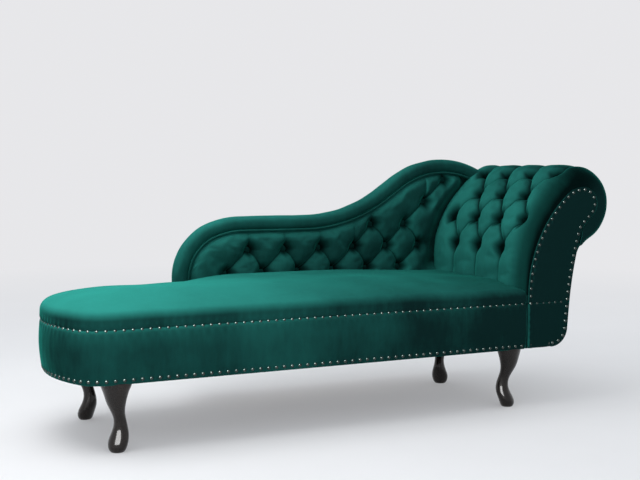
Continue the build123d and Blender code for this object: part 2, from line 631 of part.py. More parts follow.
# Backrest pad, buttoned in staggered rows under the piping
pad_inset = BORDER_WIDE + 2 * PIPING + 2 * FIT
pad_line = run_points(roll_start, 90, roll_steps, -pad_inset)
back_pad = prism(closed_face(pad_line, upright, [(pad_line[-1][2][0], roll_start[1])]), Y_BACK, Y_PANEL)
back_pad = back_pad - head_space
back_normal = Vector(0, -1, 0)
back_rows = [(-0.62, 6), (0, 6), (3.55, 2), (5.19, 1), (5.82, 1)]
back_spots = []
for row, (column, count) in enumerate(back_rows):
    z = Z_BASE + BACK_FIRST_ROW + row * BACK_ROWS
    x = X_BACK + BACK_FIRST_COLUMN + BACK_PITCH * column
    back_spots.append([Vector(x + BACK_PITCH * i, Y_BACK, z) for i in range(count)])
back_cuts = []
back_buttons = []
for row, line in enumerate(back_spots):
    upper = back_spots[row + 1] if row + 1 < len(back_spots) else []
    for spot in line:
        back_cuts.append(tuft_cut(spot, back_normal))
        back_buttons.append(button(spot, back_normal))
        linked = [other for other in upper if abs(other.X - spot.X) < BACK_PITCH]
        for other in linked:
            back_cuts.append(pleat_cut(spot, other, back_normal))
        if not linked:
            back_cuts.append(pleat_cut(spot, spot + Vector(0, 0, BACK_ROWS * 0.8), back_normal))
back_pad = back_pad - back_cuts

# Battens on the back of the panel
batten_x = [X_BACK + BORDER_WIDE, X_BACK + BACK_REACH / 2, X_JOINT]
batten_top = Z_BASE + BACK_SIDE
battens = [box(x, x + BATTEN, Y_BATTEN, Y_BATTEN + BATTEN, Z_BASE, batten_top) for x in batten_x]
back_end = run_points(back_start, 90, end_steps)[-1][2][0]
back_dust = box(X_BACK + BACK_INSET, back_end - BACK_INSET, Y_PANEL, Y_END, Z_BASE - DUST, Z_BASE)


def joint_bolt(start, direction, grip):
    """A bolt with its washer under the head, the head standing back from start."""
    way = Vector(*direction)
    head = rod(Vector(*start) - way * (WASHER_THICK + BOLT_HEAD_HIGH), direction, BOLT_HEAD, BOLT_HEAD_HIGH)
    shank = rod(Vector(*start) - way * WASHER_THICK, direction, BOLT, grip + WASHER_THICK)
    washer = rod(Vector(*start) - way * WASHER_THICK, direction, WASHER, WASHER_THICK)
    return head + shank, washer - rod(Vector(*start) - way * WASHER_THICK, direction, BOLT, WASHER_THICK)


# Bolts from the seat frame into the head arm
head_grip = RAIL_THICK + HEAD_EDGE + BOARD_THICK + STRETCHER
head_bolts = []
head_washers = []
head_nuts = []
low_and_high = [stretch_low + STRETCHER / 2, stretch_high + STRETCHER / 2]
for row, z in enumerate(low_and_high):
    for y in (Y_MID - BASE_DEPTH / 4, Y_MID + BASE_DEPTH / 4):
        bolt, washer = joint_bolt((X_JOINT - RAIL_THICK, y, z), (1, 0, 0), head_grip)
        head_bolts.append(bolt)
        head_washers.append(washer)
        clear = rod((X_JOINT - RAIL_THICK, y, z), (1, 0, 0), BOLT + HOLE_FIT, head_grip)
        head_rail -= clear
        lining -= clear
        inner_board -= clear
        end = x_stretch + STRETCHER
        sleeve = rod((end - NUT_LENGTH, y, z), (1, 0, 0), SLEEVE, NUT_LENGTH)
        stretchers[row] = stretchers[row] - clear - sleeve
        nut = sleeve + rod((end, y, z), (1, 0, 0), NUT_FLANGE, WASHER_THICK)
        head_nuts.append(nut - rod((end - NUT_LENGTH, y, z), (1, 0, 0), BOLT, 2 * NUT_LENGTH))

# Bolts from the seat frame into the backrest
back_grip = Y_PANEL - (Y_REAR - INNER) - NUT_LENGTH
back_bolts = []
back_washers = []
back_nuts = []
z = Z_BASE + LOWER_RAIL_HEIGHT / 2
bay_ends = cross_x + [X_JOINT - RAIL_THICK]
bolt_x = [a + (b - a) * share for a, b in zip(bay_ends, bay_ends[1:]) for share in (0.25, 0.75)]
for x in bolt_x:
    bolt, washer = joint_bolt((x, Y_REAR - INNER, z), (0, 1, 0), back_grip)
    back_bolts.append(bolt)
    back_washers.append(washer)
    clear = rod((x, Y_REAR - INNER, z), (0, 1, 0), BOLT + HOLE_FIT, back_grip)
    back_rail -= clear
    border -= clear
    sleeve = rod((x, Y_PANEL - 3 * NUT_LENGTH, z), (0, 1, 0), NUT, 2 * NUT_LENGTH)
    lower_rail = lower_rail - clear - sleeve
    back_nuts.append(sleeve - clear)

# Domed nails
dome_radius = (NAIL ** 2 + NAIL_RISE ** 2) / (2 * NAIL_RISE)
dome = Pos(0, 0, NAIL_RISE - dome_radius) * Sphere(dome_radius)
dome = dome & Pos(0, 0, NAIL_RISE) * Box(4 * NAIL, 4 * NAIL, 2 * NAIL_RISE)


def nails_round_base(z):
    """Nails along the band, to where the backrest begins."""
    hidden = X_JOINT - X_BACK
    found = []
    for (x, y), heading in along_run(plan(0), NAIL_PITCH, NAIL_PITCH / 2, hidden + NAIL_PITCH / 2):
        out = (-math.sin(heading), math.cos(heading), 0)
        found.append(Plane(origin=(x, y, z), x_dir=(0, 0, 1), z_dir=out) * dome)
    return found


def nails_round_scroll(y, way):
    """Nails along the scroll's nail line on a facing that looks along way."""
    pieces = scroll(0)
    found = []
    for (x, z), _ in along_run(pieces, NAIL_PITCH, Z_NAIL_HIGH - face_start[1], 0):
        found.append(Plane(origin=(x, y, z), x_dir=(1, 0, 0), z_dir=(0, way, 0)) * dome)
    return found


front_nails = nails_round_scroll(Y_FRONT, -1)
bar_x = [face_start[0], scroll(0)[6][2][0]]
bar_count = round((bar_x[1] - bar_x[0]) / NAIL_PITCH)
apron_spots = [(bar_x[0] + (bar_x[1] - bar_x[0]) * i / bar_count, Z_NAIL_HIGH) for i in range(1, bar_count)]
for i in range(bar_count - 1):
    x = bar_x[0] + NAIL_PITCH * i
    if x < corner_x - NAIL_PITCH / 2:
        apron_spots.append((x, face_start[1]))
apron_nails = []
for x, z in apron_spots:
    apron_nails.append(Plane(origin=(x, Y_FRONT, z), x_dir=(1, 0, 0), z_dir=(0, -1, 0)) * dome)

save("seat_border", border)
save("seat_cover", seat_cover)
save("seat_foam", seat_foam)
save("seat_front_rail", front_rail)
save("seat_back_rail", back_rail)
save("seat_head_rail", head_rail)
save("seat_foot_rail", foot_rail)
save("seat_cross_rails", *cross_rails)
save("seat_corner_blocks", *corner_blocks)
save("seat_springs", *springs)
save("seat_spring_clips", *clips)
save("seat_dust_cover", dust_cover)
save("seat_upper_nails", *nails_round_base(Z_NAIL_HIGH))
save("seat_lower_nails", *nails_round_base(Z_NAIL_LOW))
for name, leg in legs.items():
    save(name, leg)
save("leg_bolts", *leg_bolts)
save("leg_tee_nuts", *leg_nuts)
save("head_front_panel", front_panel)
save("head_rear_panel", rear_panel)
save("head_stretchers", *stretchers, bottom_stretcher)
save("head_roll_core", core)
save("head_inner_board", inner_board)
save("head_outer_board", outer_board)
save("head_lining", lining)
save("head_dust_cover", head_dust)
save("head_pad", head_pad)
save("head_buttons", *head_buttons)
save("head_front_facing", front_facing)
save("head_apron", apron)
save("head_rear_facing", rear_facing)
save("head_outer_cover", outer_cover)
save("head_front_nails", *front_nails)
save("head_apron_nails", *apron_nails)
save("head_rear_nails", *nails_round_scroll(Y_HEAD, 1))
save("head_bolts", *head_bolts)
save("head_washers", *head_washers)
save("head_tee_nuts", *head_nuts)
save("back_panel", back_panel)
save("back_lower_rail", lower_rail)
save("back_battens", *battens)
save("back_pad", back_pad)
save("back_buttons", *back_buttons)
save("back_border_roll", border_roll)
save("back_piping", piping)
save("back_outer_cover", outer_back)
save("back_dust_cover", back_dust)
save("back_bolts", *back_bolts)
save("back_washers", *back_washers)
save("back_insert_nuts", *back_nuts)
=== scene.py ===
import json
import math

import bmesh
import bpy
import numpy as np
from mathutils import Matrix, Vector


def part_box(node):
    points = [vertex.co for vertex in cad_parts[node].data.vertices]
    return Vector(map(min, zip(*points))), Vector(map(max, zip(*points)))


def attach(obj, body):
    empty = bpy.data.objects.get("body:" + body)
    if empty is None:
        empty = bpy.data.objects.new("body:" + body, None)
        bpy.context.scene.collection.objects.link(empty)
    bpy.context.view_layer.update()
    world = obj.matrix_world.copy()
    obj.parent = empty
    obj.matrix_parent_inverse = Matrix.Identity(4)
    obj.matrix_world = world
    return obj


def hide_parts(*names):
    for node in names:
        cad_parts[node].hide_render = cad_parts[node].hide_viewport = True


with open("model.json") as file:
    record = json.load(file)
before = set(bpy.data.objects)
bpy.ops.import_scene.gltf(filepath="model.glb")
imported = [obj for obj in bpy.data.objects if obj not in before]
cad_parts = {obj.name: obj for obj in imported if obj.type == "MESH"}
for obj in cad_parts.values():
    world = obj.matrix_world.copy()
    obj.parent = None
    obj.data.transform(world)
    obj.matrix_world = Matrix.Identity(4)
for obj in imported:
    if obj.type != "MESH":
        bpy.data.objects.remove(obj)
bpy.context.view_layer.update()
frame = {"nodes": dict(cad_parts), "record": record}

# Sizes, in millimetres

# Seat base: the nail line in plan, and the heights of its bands
FRONT, REAR, MIDDLE = -286.65, 175.35, -55.65
FOOT, SPRING, JOINT = -840.65, -720.65, 519.35
UNDERSIDE, LOW_NAILS, HIGH_NAILS, BAND_TOP = 178.0, 187.0, 311.0, 320.0
SEAT_RISE, SEAT_SIDE = 72.0, 41.0
NAIL_PITCH = 22.5

# Head arm: its scroll on the nail line, its pad on the outer line
ARM_BACK = 222.35
SCROLL_FOOT = (539.35, 188.0)
PAD_FOOT = (504.35, 337.3)
PAD_RUN = [(62.7, 0), (330, -45), (75, 0), (114, -195), (92, 0)]
PAD_EDGES = (58.0, 26.0)
HEAD_ROW, HEAD_FIRST, HEAD_PITCH = 95.0, 140.7, 127.0

# Backrest: its outline from the left foot over the crest to the end behind the arm, the insets from that
# outline, and the lower edge and far end of its pad
BACK_LEFT, BACK_FACE, BACK_BOARD, BACK_OUTSIDE = -412.65, 183.65, 235.65, 294.65
BACK_TOP = [(180, -70), (300, -20), (209, 0), (480, 34.5), (66, 0), (330, -34.5), (330, -30)]
BACK_SIDE, RAIL_TOP = 200.0, 298.3
BORDER_WIDE, COVER_INSET, PAD_INSET, PIPING_INSET = 40.0, 22.0, 37.0, 42.9
PIPING_RADIUS = 3.1
PAD_LOW, PAD_END = 330.0, 705.0

# Backrest buttons: staggered rows, each with its first column and its count, and how near the border has
# to be for a pleat up to it
BACK_PITCH, BACK_COLUMN, BACK_FIRST, BACK_ROW = 122.0, 240.0, 390.0, 72.0
BACK_ROWS = [(-0.62, 6), (0, 6), (3.55, 2), (5.19, 1), (5.82, 1)]
PLEAT_REACH = 130.0

# Buttoning: how deep the buttons draw the cloth in, how deep they sit, their radius and rise, the depth of
# fold at which the swell beside it has faded out, and the depths between which a fold gets painted shade
BUTTON_DEEP, BUTTON_SEAT, BUTTON_RADIUS, BUTTON_RISE = 26.0, 30.0, 10.5, 6.0
FOLD_FULL, FOLD_SHADE_START, FOLD_SHADE_FULL = 14.0, 7.0, 18.0

# Cloth: walls of covers and facings, gap under the base, welding distance, simulation of the cushions
COVER_WALL, FACING_WALL = 2.0, 2.5
DUST_GAP, WELD = 0.6, 0.02
CLOTH_FRAMES, CLOTH_PRESSURE, CLOTH_BENDING, CLOTH_BLUR = 20, 4.0, 0.2, 5


# Lines and surfaces
def run(start, heading, steps, offset=0.0, spacing=2.0):
    """Lines (length, 0) and tangent arcs (radius, turn in degrees, left is positive) one after the
    other. Gives points and unit normals to the left, moved to the left by offset."""
    turn, (x, y) = math.radians(heading), start
    points, turns = [], []
    for size, bend in steps:
        length = size if bend == 0 else size * abs(math.radians(bend))
        share = np.linspace(0, 1, max(3, int(length / spacing) + 1))
        way = turn + math.radians(bend) * share
        if bend == 0:
            step = np.stack([x + size * share * math.cos(turn), y + size * share * math.sin(turn)], 1)
        else:
            side = 1 if bend > 0 else -1
            step = np.stack([x + side * size * (np.sin(way) - math.sin(turn)),
                             y - side * size * (np.cos(way) - math.cos(turn))], 1)
        points.append(step)
        turns.append(way)
        turn, (x, y) = way[-1], step[-1]
    way = np.concatenate(turns)
    left = np.stack([-np.sin(way), np.cos(way)], 1)
    return np.concatenate(points) + offset * left, left


def lengths(points):
    """Length from the first point to each point of a line."""
    return np.concatenate([[0], np.cumsum(np.hypot(*np.diff(points, axis=0).T))])


def even(points, left, spacing):
    """The same line at even steps: points, normals and lengths."""
    s = lengths(points)
    at = np.linspace(0, s[-1], int(s[-1] / spacing) + 1)
    keep = np.concatenate([[True], np.diff(s) > 1e-9])
    spread = [np.interp(at, s[keep], column[keep]) for column in (*points.T, *left.T)]
    normal = np.stack(spread[2:], 1)
    return np.stack(spread[:2], 1), normal / np.linalg.norm(normal, axis=1)[:, None], at


def nearest(points, line):
    """Distance from each point to the closest point of a finely walked line, and that point's place."""
    gaps = [np.hypot(*(block[:, None] - line[None]).transpose(2, 0, 1)) for block in
            np.array_split(points.reshape(-1, 2), 24)]
    where = np.concatenate([gap.argmin(1) for gap in gaps])
    close = np.concatenate([gap.min(1) for gap in gaps])
    return close.reshape(points.shape[:-1]), where.reshape(points.shape[:-1])


def ripple(a, b, size, phase=0.0):
    """Uneven stuffing: a sum of five plane waves in different directions, about -1 to 1."""
    total = 0
    for i in range(5):
        angle, stretch = phase + 2.4 * i, 1 + 0.37 * i
        total = total + np.sin((a * math.cos(angle) + b * math.sin(angle)) * stretch * 2 * math.pi / size
                               + 1.7 * i + phase)
    return total / 3.2


def soft_step(value, low, high):
    """0 below low, 1 above high and smooth between."""
    t = np.clip((value - low) / (high - low), 0, 1)
    return t * t * (3 - 2 * t)


def grid_faces(rows, columns, start=0, closed=False):
    """Quads of a grid of points, joined round its columns where it is closed."""
    index = start + np.arange(rows * columns).reshape(rows, columns)
    if closed:
        index = np.concatenate([index, index[:, :1]], 1)
    corners = [index[:-1, :-1], index[1:, :-1], index[1:, 1:], index[:-1, 1:]]
    return np.stack(corners, -1).reshape(-1, 4)


def add_object(name, data):
    """A new object in the scene."""
    made = bpy.data.objects.new(name, data)
    bpy.context.scene.collection.objects.link(made)
    return made


def quad_mesh(name, points, faces, toward=None):
    """A mesh of quads, turned outwards: by the enclosed volume, or towards a direction for an open sheet."""
    a, b, c, d = (points[faces[:, i]] for i in range(4))
    normal = np.cross(c - a, d - b)
    outward = (normal * (a + c)).sum() if toward is None else (normal @ np.array(toward, float)).sum()
    if outward < 0:
        faces = faces[:, ::-1]
    mesh = bpy.data.meshes.new(name)
    mesh.from_pydata(points.tolist(), [], faces.tolist())
    return mesh


def make_piece(name, grids, slot, nodes=(), toward=None, closed=False, painted_shade=None):
    """One object from grids of points in millimetres, welded where they meet, in the finish of its slot. A
    mask of painted shade becomes an attribute of the mesh."""
    start, faces = 0, []
    for grid in grids:
        faces.append(grid_faces(grid.shape[0], grid.shape[1], start, closed))
        start += grid.shape[0] * grid.shape[1]
    points = np.concatenate([grid.reshape(-1, 3) for grid in grids]) * 0.001
    mesh = quad_mesh(name, points, np.concatenate(faces), toward)
    if painted_shade is not None:
        mask = mesh.attributes.new("painted_shade", "FLOAT", "POINT")
        mask.data.foreach_set("value", painted_shade.ravel().astype(np.float32))
    work = bmesh.new()
    work.from_mesh(mesh)
    bmesh.ops.remove_doubles(work, verts=work.verts, dist=WELD * 0.001)
    bmesh.ops.dissolve_degenerate(work, edges=work.edges, dist=1e-7)
    work.to_mesh(mesh)
    work.free()
    mesh.polygons.foreach_set("use_smooth", np.ones(len(mesh.polygons), bool))
    mesh.materials.append(FINISHES[slot])
    made = add_object(name, mesh)
    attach(made, "root")
    if nodes:
        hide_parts(*nodes)
    return made


def thicken(made, depth):
    """Cloth thickness, inwards."""
    wall = made.modifiers.new("cloth", "SOLIDIFY")
    wall.thickness = depth * 0.001
    wall.offset = -1
    return made


def blur(values, times):
    """The mean of each point and its neighbours along rows and columns, weighed 1, 2, 1."""
    for _ in range(times):
        for axis in (0, 1):
            wide = np.pad(values, [(1, 1) if i == axis else (0, 0) for i in range(values.ndim)], mode="edge")
            low, mid, high = (np.take(wide, np.arange(values.shape[axis]) + k, axis) for k in range(3))
            values = (low + 2 * mid + high) / 4
    return values


def swell(grid, held, toward, grow, cap, step):
    """Cloth simulation of a padded cover. Every step-th row and column of the grid becomes a cloth that is
    pinned where held is 1, grows by a share of its size and is blown out by pressure. Its movement, cut
    off at a cap in millimetres, is spread over the fine grid by straight interpolation and blurred."""
    picks, places = [], []
    for size in grid.shape[:2]:
        pick = np.unique(np.linspace(0, size - 1, size // step + 1).round().astype(int))
        low = np.clip(np.searchsorted(pick, np.arange(size), "right") - 1, 0, len(pick) - 2)
        picks.append(pick)
        places.append((low, (np.arange(size) - pick[low]) / (pick[low + 1] - pick[low])))
    start = grid[picks[0]][:, picks[1]]
    points = start.reshape(-1, 3) * 0.001
    mesh = quad_mesh("cloth", points, grid_faces(*start.shape[:2]), toward)
    cloth = add_object("cloth", mesh)
    scene = bpy.context.scene
    pinned = cloth.vertex_groups.new(name="held")
    weights = held[picks[0]][:, picks[1]].ravel().clip(0, 1)
    for level in np.unique(weights.round(1)):
        pinned.add(np.flatnonzero(weights.round(1) == level).tolist(), float(level), "REPLACE")
    blown = cloth.modifiers.new("cloth", "CLOTH")
    blown.settings.vertex_group_mass = "held"
    blown.settings.use_pressure = True
    blown.settings.uniform_pressure_force = CLOTH_PRESSURE
    blown.settings.shrink_min = -grow
    blown.settings.bending_stiffness = CLOTH_BENDING
    blown.settings.effector_weights.gravity = 0.0
    blown.point_cache.frame_end = CLOTH_FRAMES
    for number in range(1, CLOTH_FRAMES + 1):
        scene.frame_set(number)
    settled = cloth.evaluated_get(bpy.context.evaluated_depsgraph_get()).to_mesh()
    moved = np.empty(points.size, np.float32)
    settled.vertices.foreach_get("co", moved)
    bpy.data.objects.remove(cloth)
    bpy.data.meshes.remove(mesh)
    scene.frame_set(1)
    shift = moved.reshape(start.shape) * 1000.0 - start
    size = np.linalg.norm(shift, axis=2, keepdims=True)
    shift = shift * np.minimum(1, cap / np.maximum(size, 1e-6))
    (row, down), (column, along) = places
    down, along = down[:, None, None], along[None, :, None]
    fine = ((shift[row][:, column] * (1 - along) + shift[row][:, column + 1] * along) * (1 - down)
            + (shift[row + 1][:, column] * (1 - along) + shift[row + 1][:, column + 1] * along) * down)
    return grid + blur(fine, step + CLOTH_BLUR)


# Finishes
def node_group(name, colours, values):
    """An empty shader group: a vector, two colours and some values in; colour, roughness and height out."""
    group = bpy.data.node_groups.new(name, "ShaderNodeTree")
    sockets = [("INPUT", "Vector", ("Vector",)), ("INPUT", "Color", colours), ("INPUT", "Float", values),
               ("OUTPUT", "Color", ("Colour",)), ("OUTPUT", "Float", ("Roughness", "Height"))]
    for side, kind, labels in sockets:
        for label in labels:
            group.interface.new_socket(label, in_out=side, socket_type="NodeSocket" + kind)
    return group, group.nodes.new("NodeGroupInput"), group.nodes.new("NodeGroupOutput")


def noise(tree, vector, scale, detail, rough=0.5):
    """A noise texture; scale is a number or a socket."""
    made = tree.nodes.new("ShaderNodeTexNoise")
    made.inputs["Detail"].default_value = detail
    made.inputs["Roughness"].default_value = rough
    tree.links.new(vector, made.inputs["Vector"])
    if isinstance(scale, (int, float)):
        made.inputs["Scale"].default_value = scale
    else:
        tree.links.new(scale, made.inputs["Scale"])
    return made.outputs["Fac"]


def remap(tree, value, low, high, to_low=0.0, to_high=1.0, smooth=False):
    """A clamped map range, straight or with soft ends."""
    made = tree.nodes.new("ShaderNodeMapRange")
    made.interpolation_type = "SMOOTHSTEP" if smooth else "LINEAR"
    for label, number in (("From Min", low), ("From Max", high), ("To Min", to_low), ("To Max", to_high)):
        made.inputs[label].default_value = number
    tree.links.new(value, made.inputs["Value"])
    return made.outputs["Result"]


def sums(tree, operation, one, two):
    """A math node on sockets or numbers."""
    made = tree.nodes.new("ShaderNodeMath")
    made.operation = operation
    for socket, value in zip(made.inputs, (one, two)):
        if isinstance(value, (int, float)):
            socket.default_value = value
        else:
            tree.links.new(value, socket)
    return made.outputs["Value"]


def blend_colours(tree, share, one, two):
    """A colour mix of two sockets by a mask."""
    made = tree.nodes.new("ShaderNodeMix")
    made.data_type = "RGBA"
    tree.links.new(share, made.inputs["Factor"])
    tree.links.new(one, made.inputs[6])
    tree.links.new(two, made.inputs[7])
    return made.outputs[2]


def scaled(tree, vector, size):
    """A vector multiplied along its axes."""
    made = tree.nodes.new("ShaderNodeVectorMath")
    made.operation = "MULTIPLY"
    made.inputs[1].default_value = size
    tree.links.new(vector, made.inputs[0])
    return made.outputs["Vector"]


def component(tree, vector, axis):
    """One axis of a vector."""
    made = tree.nodes.new("ShaderNodeSeparateXYZ")
    tree.links.new(vector, made.inputs["Vector"])
    return made.outputs[axis]


def pile_and_painted_light_group():
    """Velvet pile with painted light and shade: painted light where it faces up, most at the foot end, and on
    the arm's inner face; painted shade on upright sides, more so towards the arm, and in folds. Wide brushed
    patches and streaks shift its tone, and fine tufts give the bump."""
    group, into, out = node_group("velvet_pile_and_painted_light", ("Shaded and deep", "Lit and brushed"), ("Patch", "Painted shade"))
    tree, vector = group, into.outputs["Vector"]
    patch = noise(tree, vector, into.outputs["Patch"], 4, 0.55)
    streak = noise(tree, scaled(tree, vector, (70, 70, 14)), 1.0, 3, 0.6)
    tuft = noise(tree, vector, 1500, 2, 0.7)
    surface = tree.nodes.new("ShaderNodeNewGeometry")
    facing_x, facing_z = (component(tree, surface.outputs["Normal"], axis) for axis in "XZ")
    x, y, z = (component(tree, vector, axis) for axis in "XYZ")
    # Painted light on cloth that faces up, stronger along the seat towards the foot end and weaker above the
    # seat
    painted_light_gain = sums(tree, "ADD", remap(tree, x, -0.6, -0.05, 0.36, 0), remap(tree, x, -0.05, 0.45, 0.25, 0.18))
    painted_light_gain = sums(tree, "MULTIPLY", painted_light_gain, remap(tree, z, 0.40, 0.47, 1, 0.65))
    painted_top_light = sums(tree, "MULTIPLY", remap(tree, facing_z, 0.0, 0.85), painted_light_gain)
    # Painted light and shade on upright cloth: lighter on the backrest, painted shade towards the arm and
    # round the foot end
    at_head = sums(tree, "MULTIPLY", remap(tree, x, -0.3, 0.6), remap(tree, y, 0.05, 0.19, 0.22, 0.10))
    painted_foot_shade = sums(tree, "MULTIPLY", remap(tree, x, -0.84, -0.72, 0.09, 0),
                   remap(tree, facing_z, 0.2, 0.6, 1, 0))
    at_back = remap(tree, y, 0.15, 0.18, 0.14, 0.21)
    sides = sums(tree, "SUBTRACT", sums(tree, "SUBTRACT", at_back, at_head), painted_foot_shade)
    # Painted light on the arm's inner face, turned towards the foot end
    painted_light_to_foot = sums(tree, "MULTIPLY", remap(tree, facing_x, -0.05, -0.95, smooth=True),
                   remap(tree, x, 0.2, 0.45, 0, 0.5))
    # All of it together, with patches, streaks and tufts, and painted shade in folds
    lit_and_brushed = sums(tree, "ADD", sums(tree, "ADD", sides, painted_top_light), painted_light_to_foot)
    for share in (remap(tree, patch, 0.36, 0.66, -0.05, 0.06), remap(tree, streak, 0.3, 0.75, -0.02, 0.03),
                  remap(tree, tuft, 0.3, 0.7, -0.03, 0.03)):
        lit_and_brushed = sums(tree, "ADD", lit_and_brushed, share)
    colour = blend_colours(tree, lit_and_brushed, into.outputs["Shaded and deep"], into.outputs["Lit and brushed"])
    shaded = tree.nodes.new("ShaderNodeVectorMath")
    shaded.operation = "SCALE"
    tree.links.new(colour, shaded.inputs[0])
    tree.links.new(remap(tree, into.outputs["Painted shade"], 0, 1, 1, 0.08), shaded.inputs["Scale"])
    tree.links.new(shaded.outputs["Vector"], out.inputs["Colour"])
    tree.links.new(remap(tree, patch, 0.3, 0.7, 0.96, 0.72), out.inputs["Roughness"])
    height = sums(tree, "ADD", sums(tree, "MULTIPLY", tuft, 0.5), sums(tree, "MULTIPLY", streak, 0.5))
    tree.links.new(height, out.inputs["Height"])
    return group


def grain_group():
    """Wood grain: noise drawn out along one axis, with fine pores."""
    group, into, out = node_group("wood_grain", ("Light", "Dark"), ("Size",))
    tree, vector = group, into.outputs["Vector"]
    ring = noise(tree, vector, into.outputs["Size"], 5, 0.6)
    pore = noise(tree, scaled(tree, vector, (9, 9, 1)), 60, 2, 0.6)
    dark = sums(tree, "ADD", remap(tree, ring, 0.32, 0.68, 0, 0.8), remap(tree, pore, 0.5, 0.8, 0, 0.35))
    colour = blend_colours(tree, dark, into.outputs["Light"], into.outputs["Dark"])
    tree.links.new(colour, out.inputs["Colour"])
    tree.links.new(remap(tree, pore, 0.4, 0.8, 0.22, 0.42), out.inputs["Roughness"])
    tree.links.new(sums(tree, "ADD", ring, sums(tree, "MULTIPLY", pore, 0.4)), out.inputs["Height"])
    return group


def wear_group():
    """Worn metal or board: cloudy tone, dark specks and an uneven gloss."""
    group, into, out = node_group("wear", ("Bright", "Dull"), ("Size",))
    tree, vector = group, into.outputs["Vector"]
    cloud = noise(tree, vector, into.outputs["Size"], 4, 0.6)
    speck = noise(tree, vector, 2400, 2, 0.6)
    dull = sums(tree, "ADD", remap(tree, cloud, 0.38, 0.66, 0, 0.85), remap(tree, speck, 0.55, 0.75, 0, 0.4))
    colour = blend_colours(tree, dull, into.outputs["Bright"], into.outputs["Dull"])
    tree.links.new(colour, out.inputs["Colour"])
    tree.links.new(remap(tree, cloud, 0.35, 0.7, 0.2, 0.5), out.inputs["Roughness"])
    tree.links.new(sums(tree, "ADD", cloud, speck), out.inputs["Height"])
    return group


def finish_from(name, group, colours, size, bump, axes=(1, 1, 1), uneven_gloss=True, **shine):
    """A material: Object coordinates through a shared group into the Principled shader."""
    made = bpy.data.materials.new(name)
    made.use_nodes = True
    tree = made.node_tree
    shader = tree.nodes["Principled BSDF"]
    place = tree.nodes.new("ShaderNodeTexCoord")
    turn = tree.nodes.new("ShaderNodeMapping")
    turn.inputs["Scale"].default_value = axes
    tree.links.new(place.outputs["Object"], turn.inputs["Vector"])
    effect = tree.nodes.new("ShaderNodeGroup")
    effect.node_tree = group
    tree.links.new(turn.outputs["Vector"], effect.inputs[0])
    effect.inputs[1].default_value = (*colours[0], 1)
    effect.inputs[2].default_value = (*colours[1], 1)
    effect.inputs[3].default_value = size
    # The painted-shade attribute darkens the colour
    if "Painted shade" in effect.inputs:
        mask = tree.nodes.new("ShaderNodeAttribute")
        mask.attribute_name = "painted_shade"
        tree.links.new(mask.outputs["Fac"], effect.inputs["Painted shade"])
    tree.links.new(effect.outputs["Colour"], shader.inputs["Base Color"])
    if uneven_gloss:
        tree.links.new(effect.outputs["Roughness"], shader.inputs["Roughness"])
    relief = tree.nodes.new("ShaderNodeBump")
    relief.inputs["Strength"].default_value = bump[0]
    relief.inputs["Distance"].default_value = bump[1]
    tree.links.new(effect.outputs["Height"], relief.inputs["Height"])
    tree.links.new(relief.outputs["Normal"], shader.inputs["Normal"])
    for label, value in shine.items():
        socket = shader.inputs[label.replace("_", " ")]
        socket.default_value = (*value, 1) if isinstance(value, tuple) else value
    return made


pile_and_painted_light, grain, wear = pile_and_painted_light_group(), grain_group(), wear_group()
FINISHES = {
    # Velvet: a shaded and a lit colour of the same cloth, mixed by the painted light and shade of the pile
    # group
    "velvet": finish_from(
        "green_velvet", pile_and_painted_light, ((0.0042, 0.0190, 0.0182), (0.028, 0.270, 0.226)), 6.0, (0.25, 0.0012),
        Sheen_Weight=0.3, Sheen_Roughness=0.30, Sheen_Tint=(0.06, 0.85, 0.66), Specular_IOR_Level=0.0),
    "nail_metal": finish_from(
        "pewter_nails", wear, ((0.085, 0.105, 0.098), (0.02, 0.025, 0.023)), 420.0, (0.1, 0.0003),
        uneven_gloss=False, Roughness=0.2, Metallic=1.0),
    "leg_wood": finish_from(
        "dark_gloss_wood", grain, ((0.013, 0.009, 0.007), (0.003, 0.002, 0.002)), 22.0, (0.01, 0.0003),
        axes=(1, 1, 0.12), Specular_IOR_Level=0.1, Coat_Weight=1.0, Coat_Roughness=0.04, Coat_IOR=1.32),
    "dust_cloth": finish_from(
        "black_dust_cloth", wear, ((0.020, 0.020, 0.021), (0.008, 0.008, 0.009)), 700.0, (0.4, 0.0006),
        uneven_gloss=False, Roughness=0.95, Sheen_Weight=0.2),
    "zinc_steel": finish_from(
        "zinc_plate", wear, ((0.66, 0.67, 0.68), (0.40, 0.41, 0.42)), 160.0, (0.1, 0.0003), Metallic=1.0),
    "foam": finish_from(
        "seat_foam", wear, ((0.86, 0.80, 0.60), (0.70, 0.62, 0.42)), 500.0, (0.6, 0.001),
        uneven_gloss=False, Roughness=0.95),
    "fibre_board": finish_from(
        "hardboard", wear, ((0.36, 0.24, 0.14), (0.24, 0.15, 0.08)), 240.0, (0.2, 0.0005),
        uneven_gloss=False, Roughness=0.8),
    "plywood": finish_from(
        "raw_plywood", grain, ((0.66, 0.50, 0.32), (0.46, 0.31, 0.17)), 18.0, (0.1, 0.0004),
        axes=(0.1, 1, 1)),
    "timber": finish_from(
        "raw_pine", grain, ((0.74, 0.58, 0.37), (0.52, 0.36, 0.19)), 14.0, (0.1, 0.0004), axes=(0.1, 1, 1)),
}
slots = {part["node"]: part["material_slot"] for part in frame["record"]["subparts"]}
for node, made in frame["nodes"].items():
    made.data.materials.clear()
    made.data.materials.append(FINISHES[slots[node]])


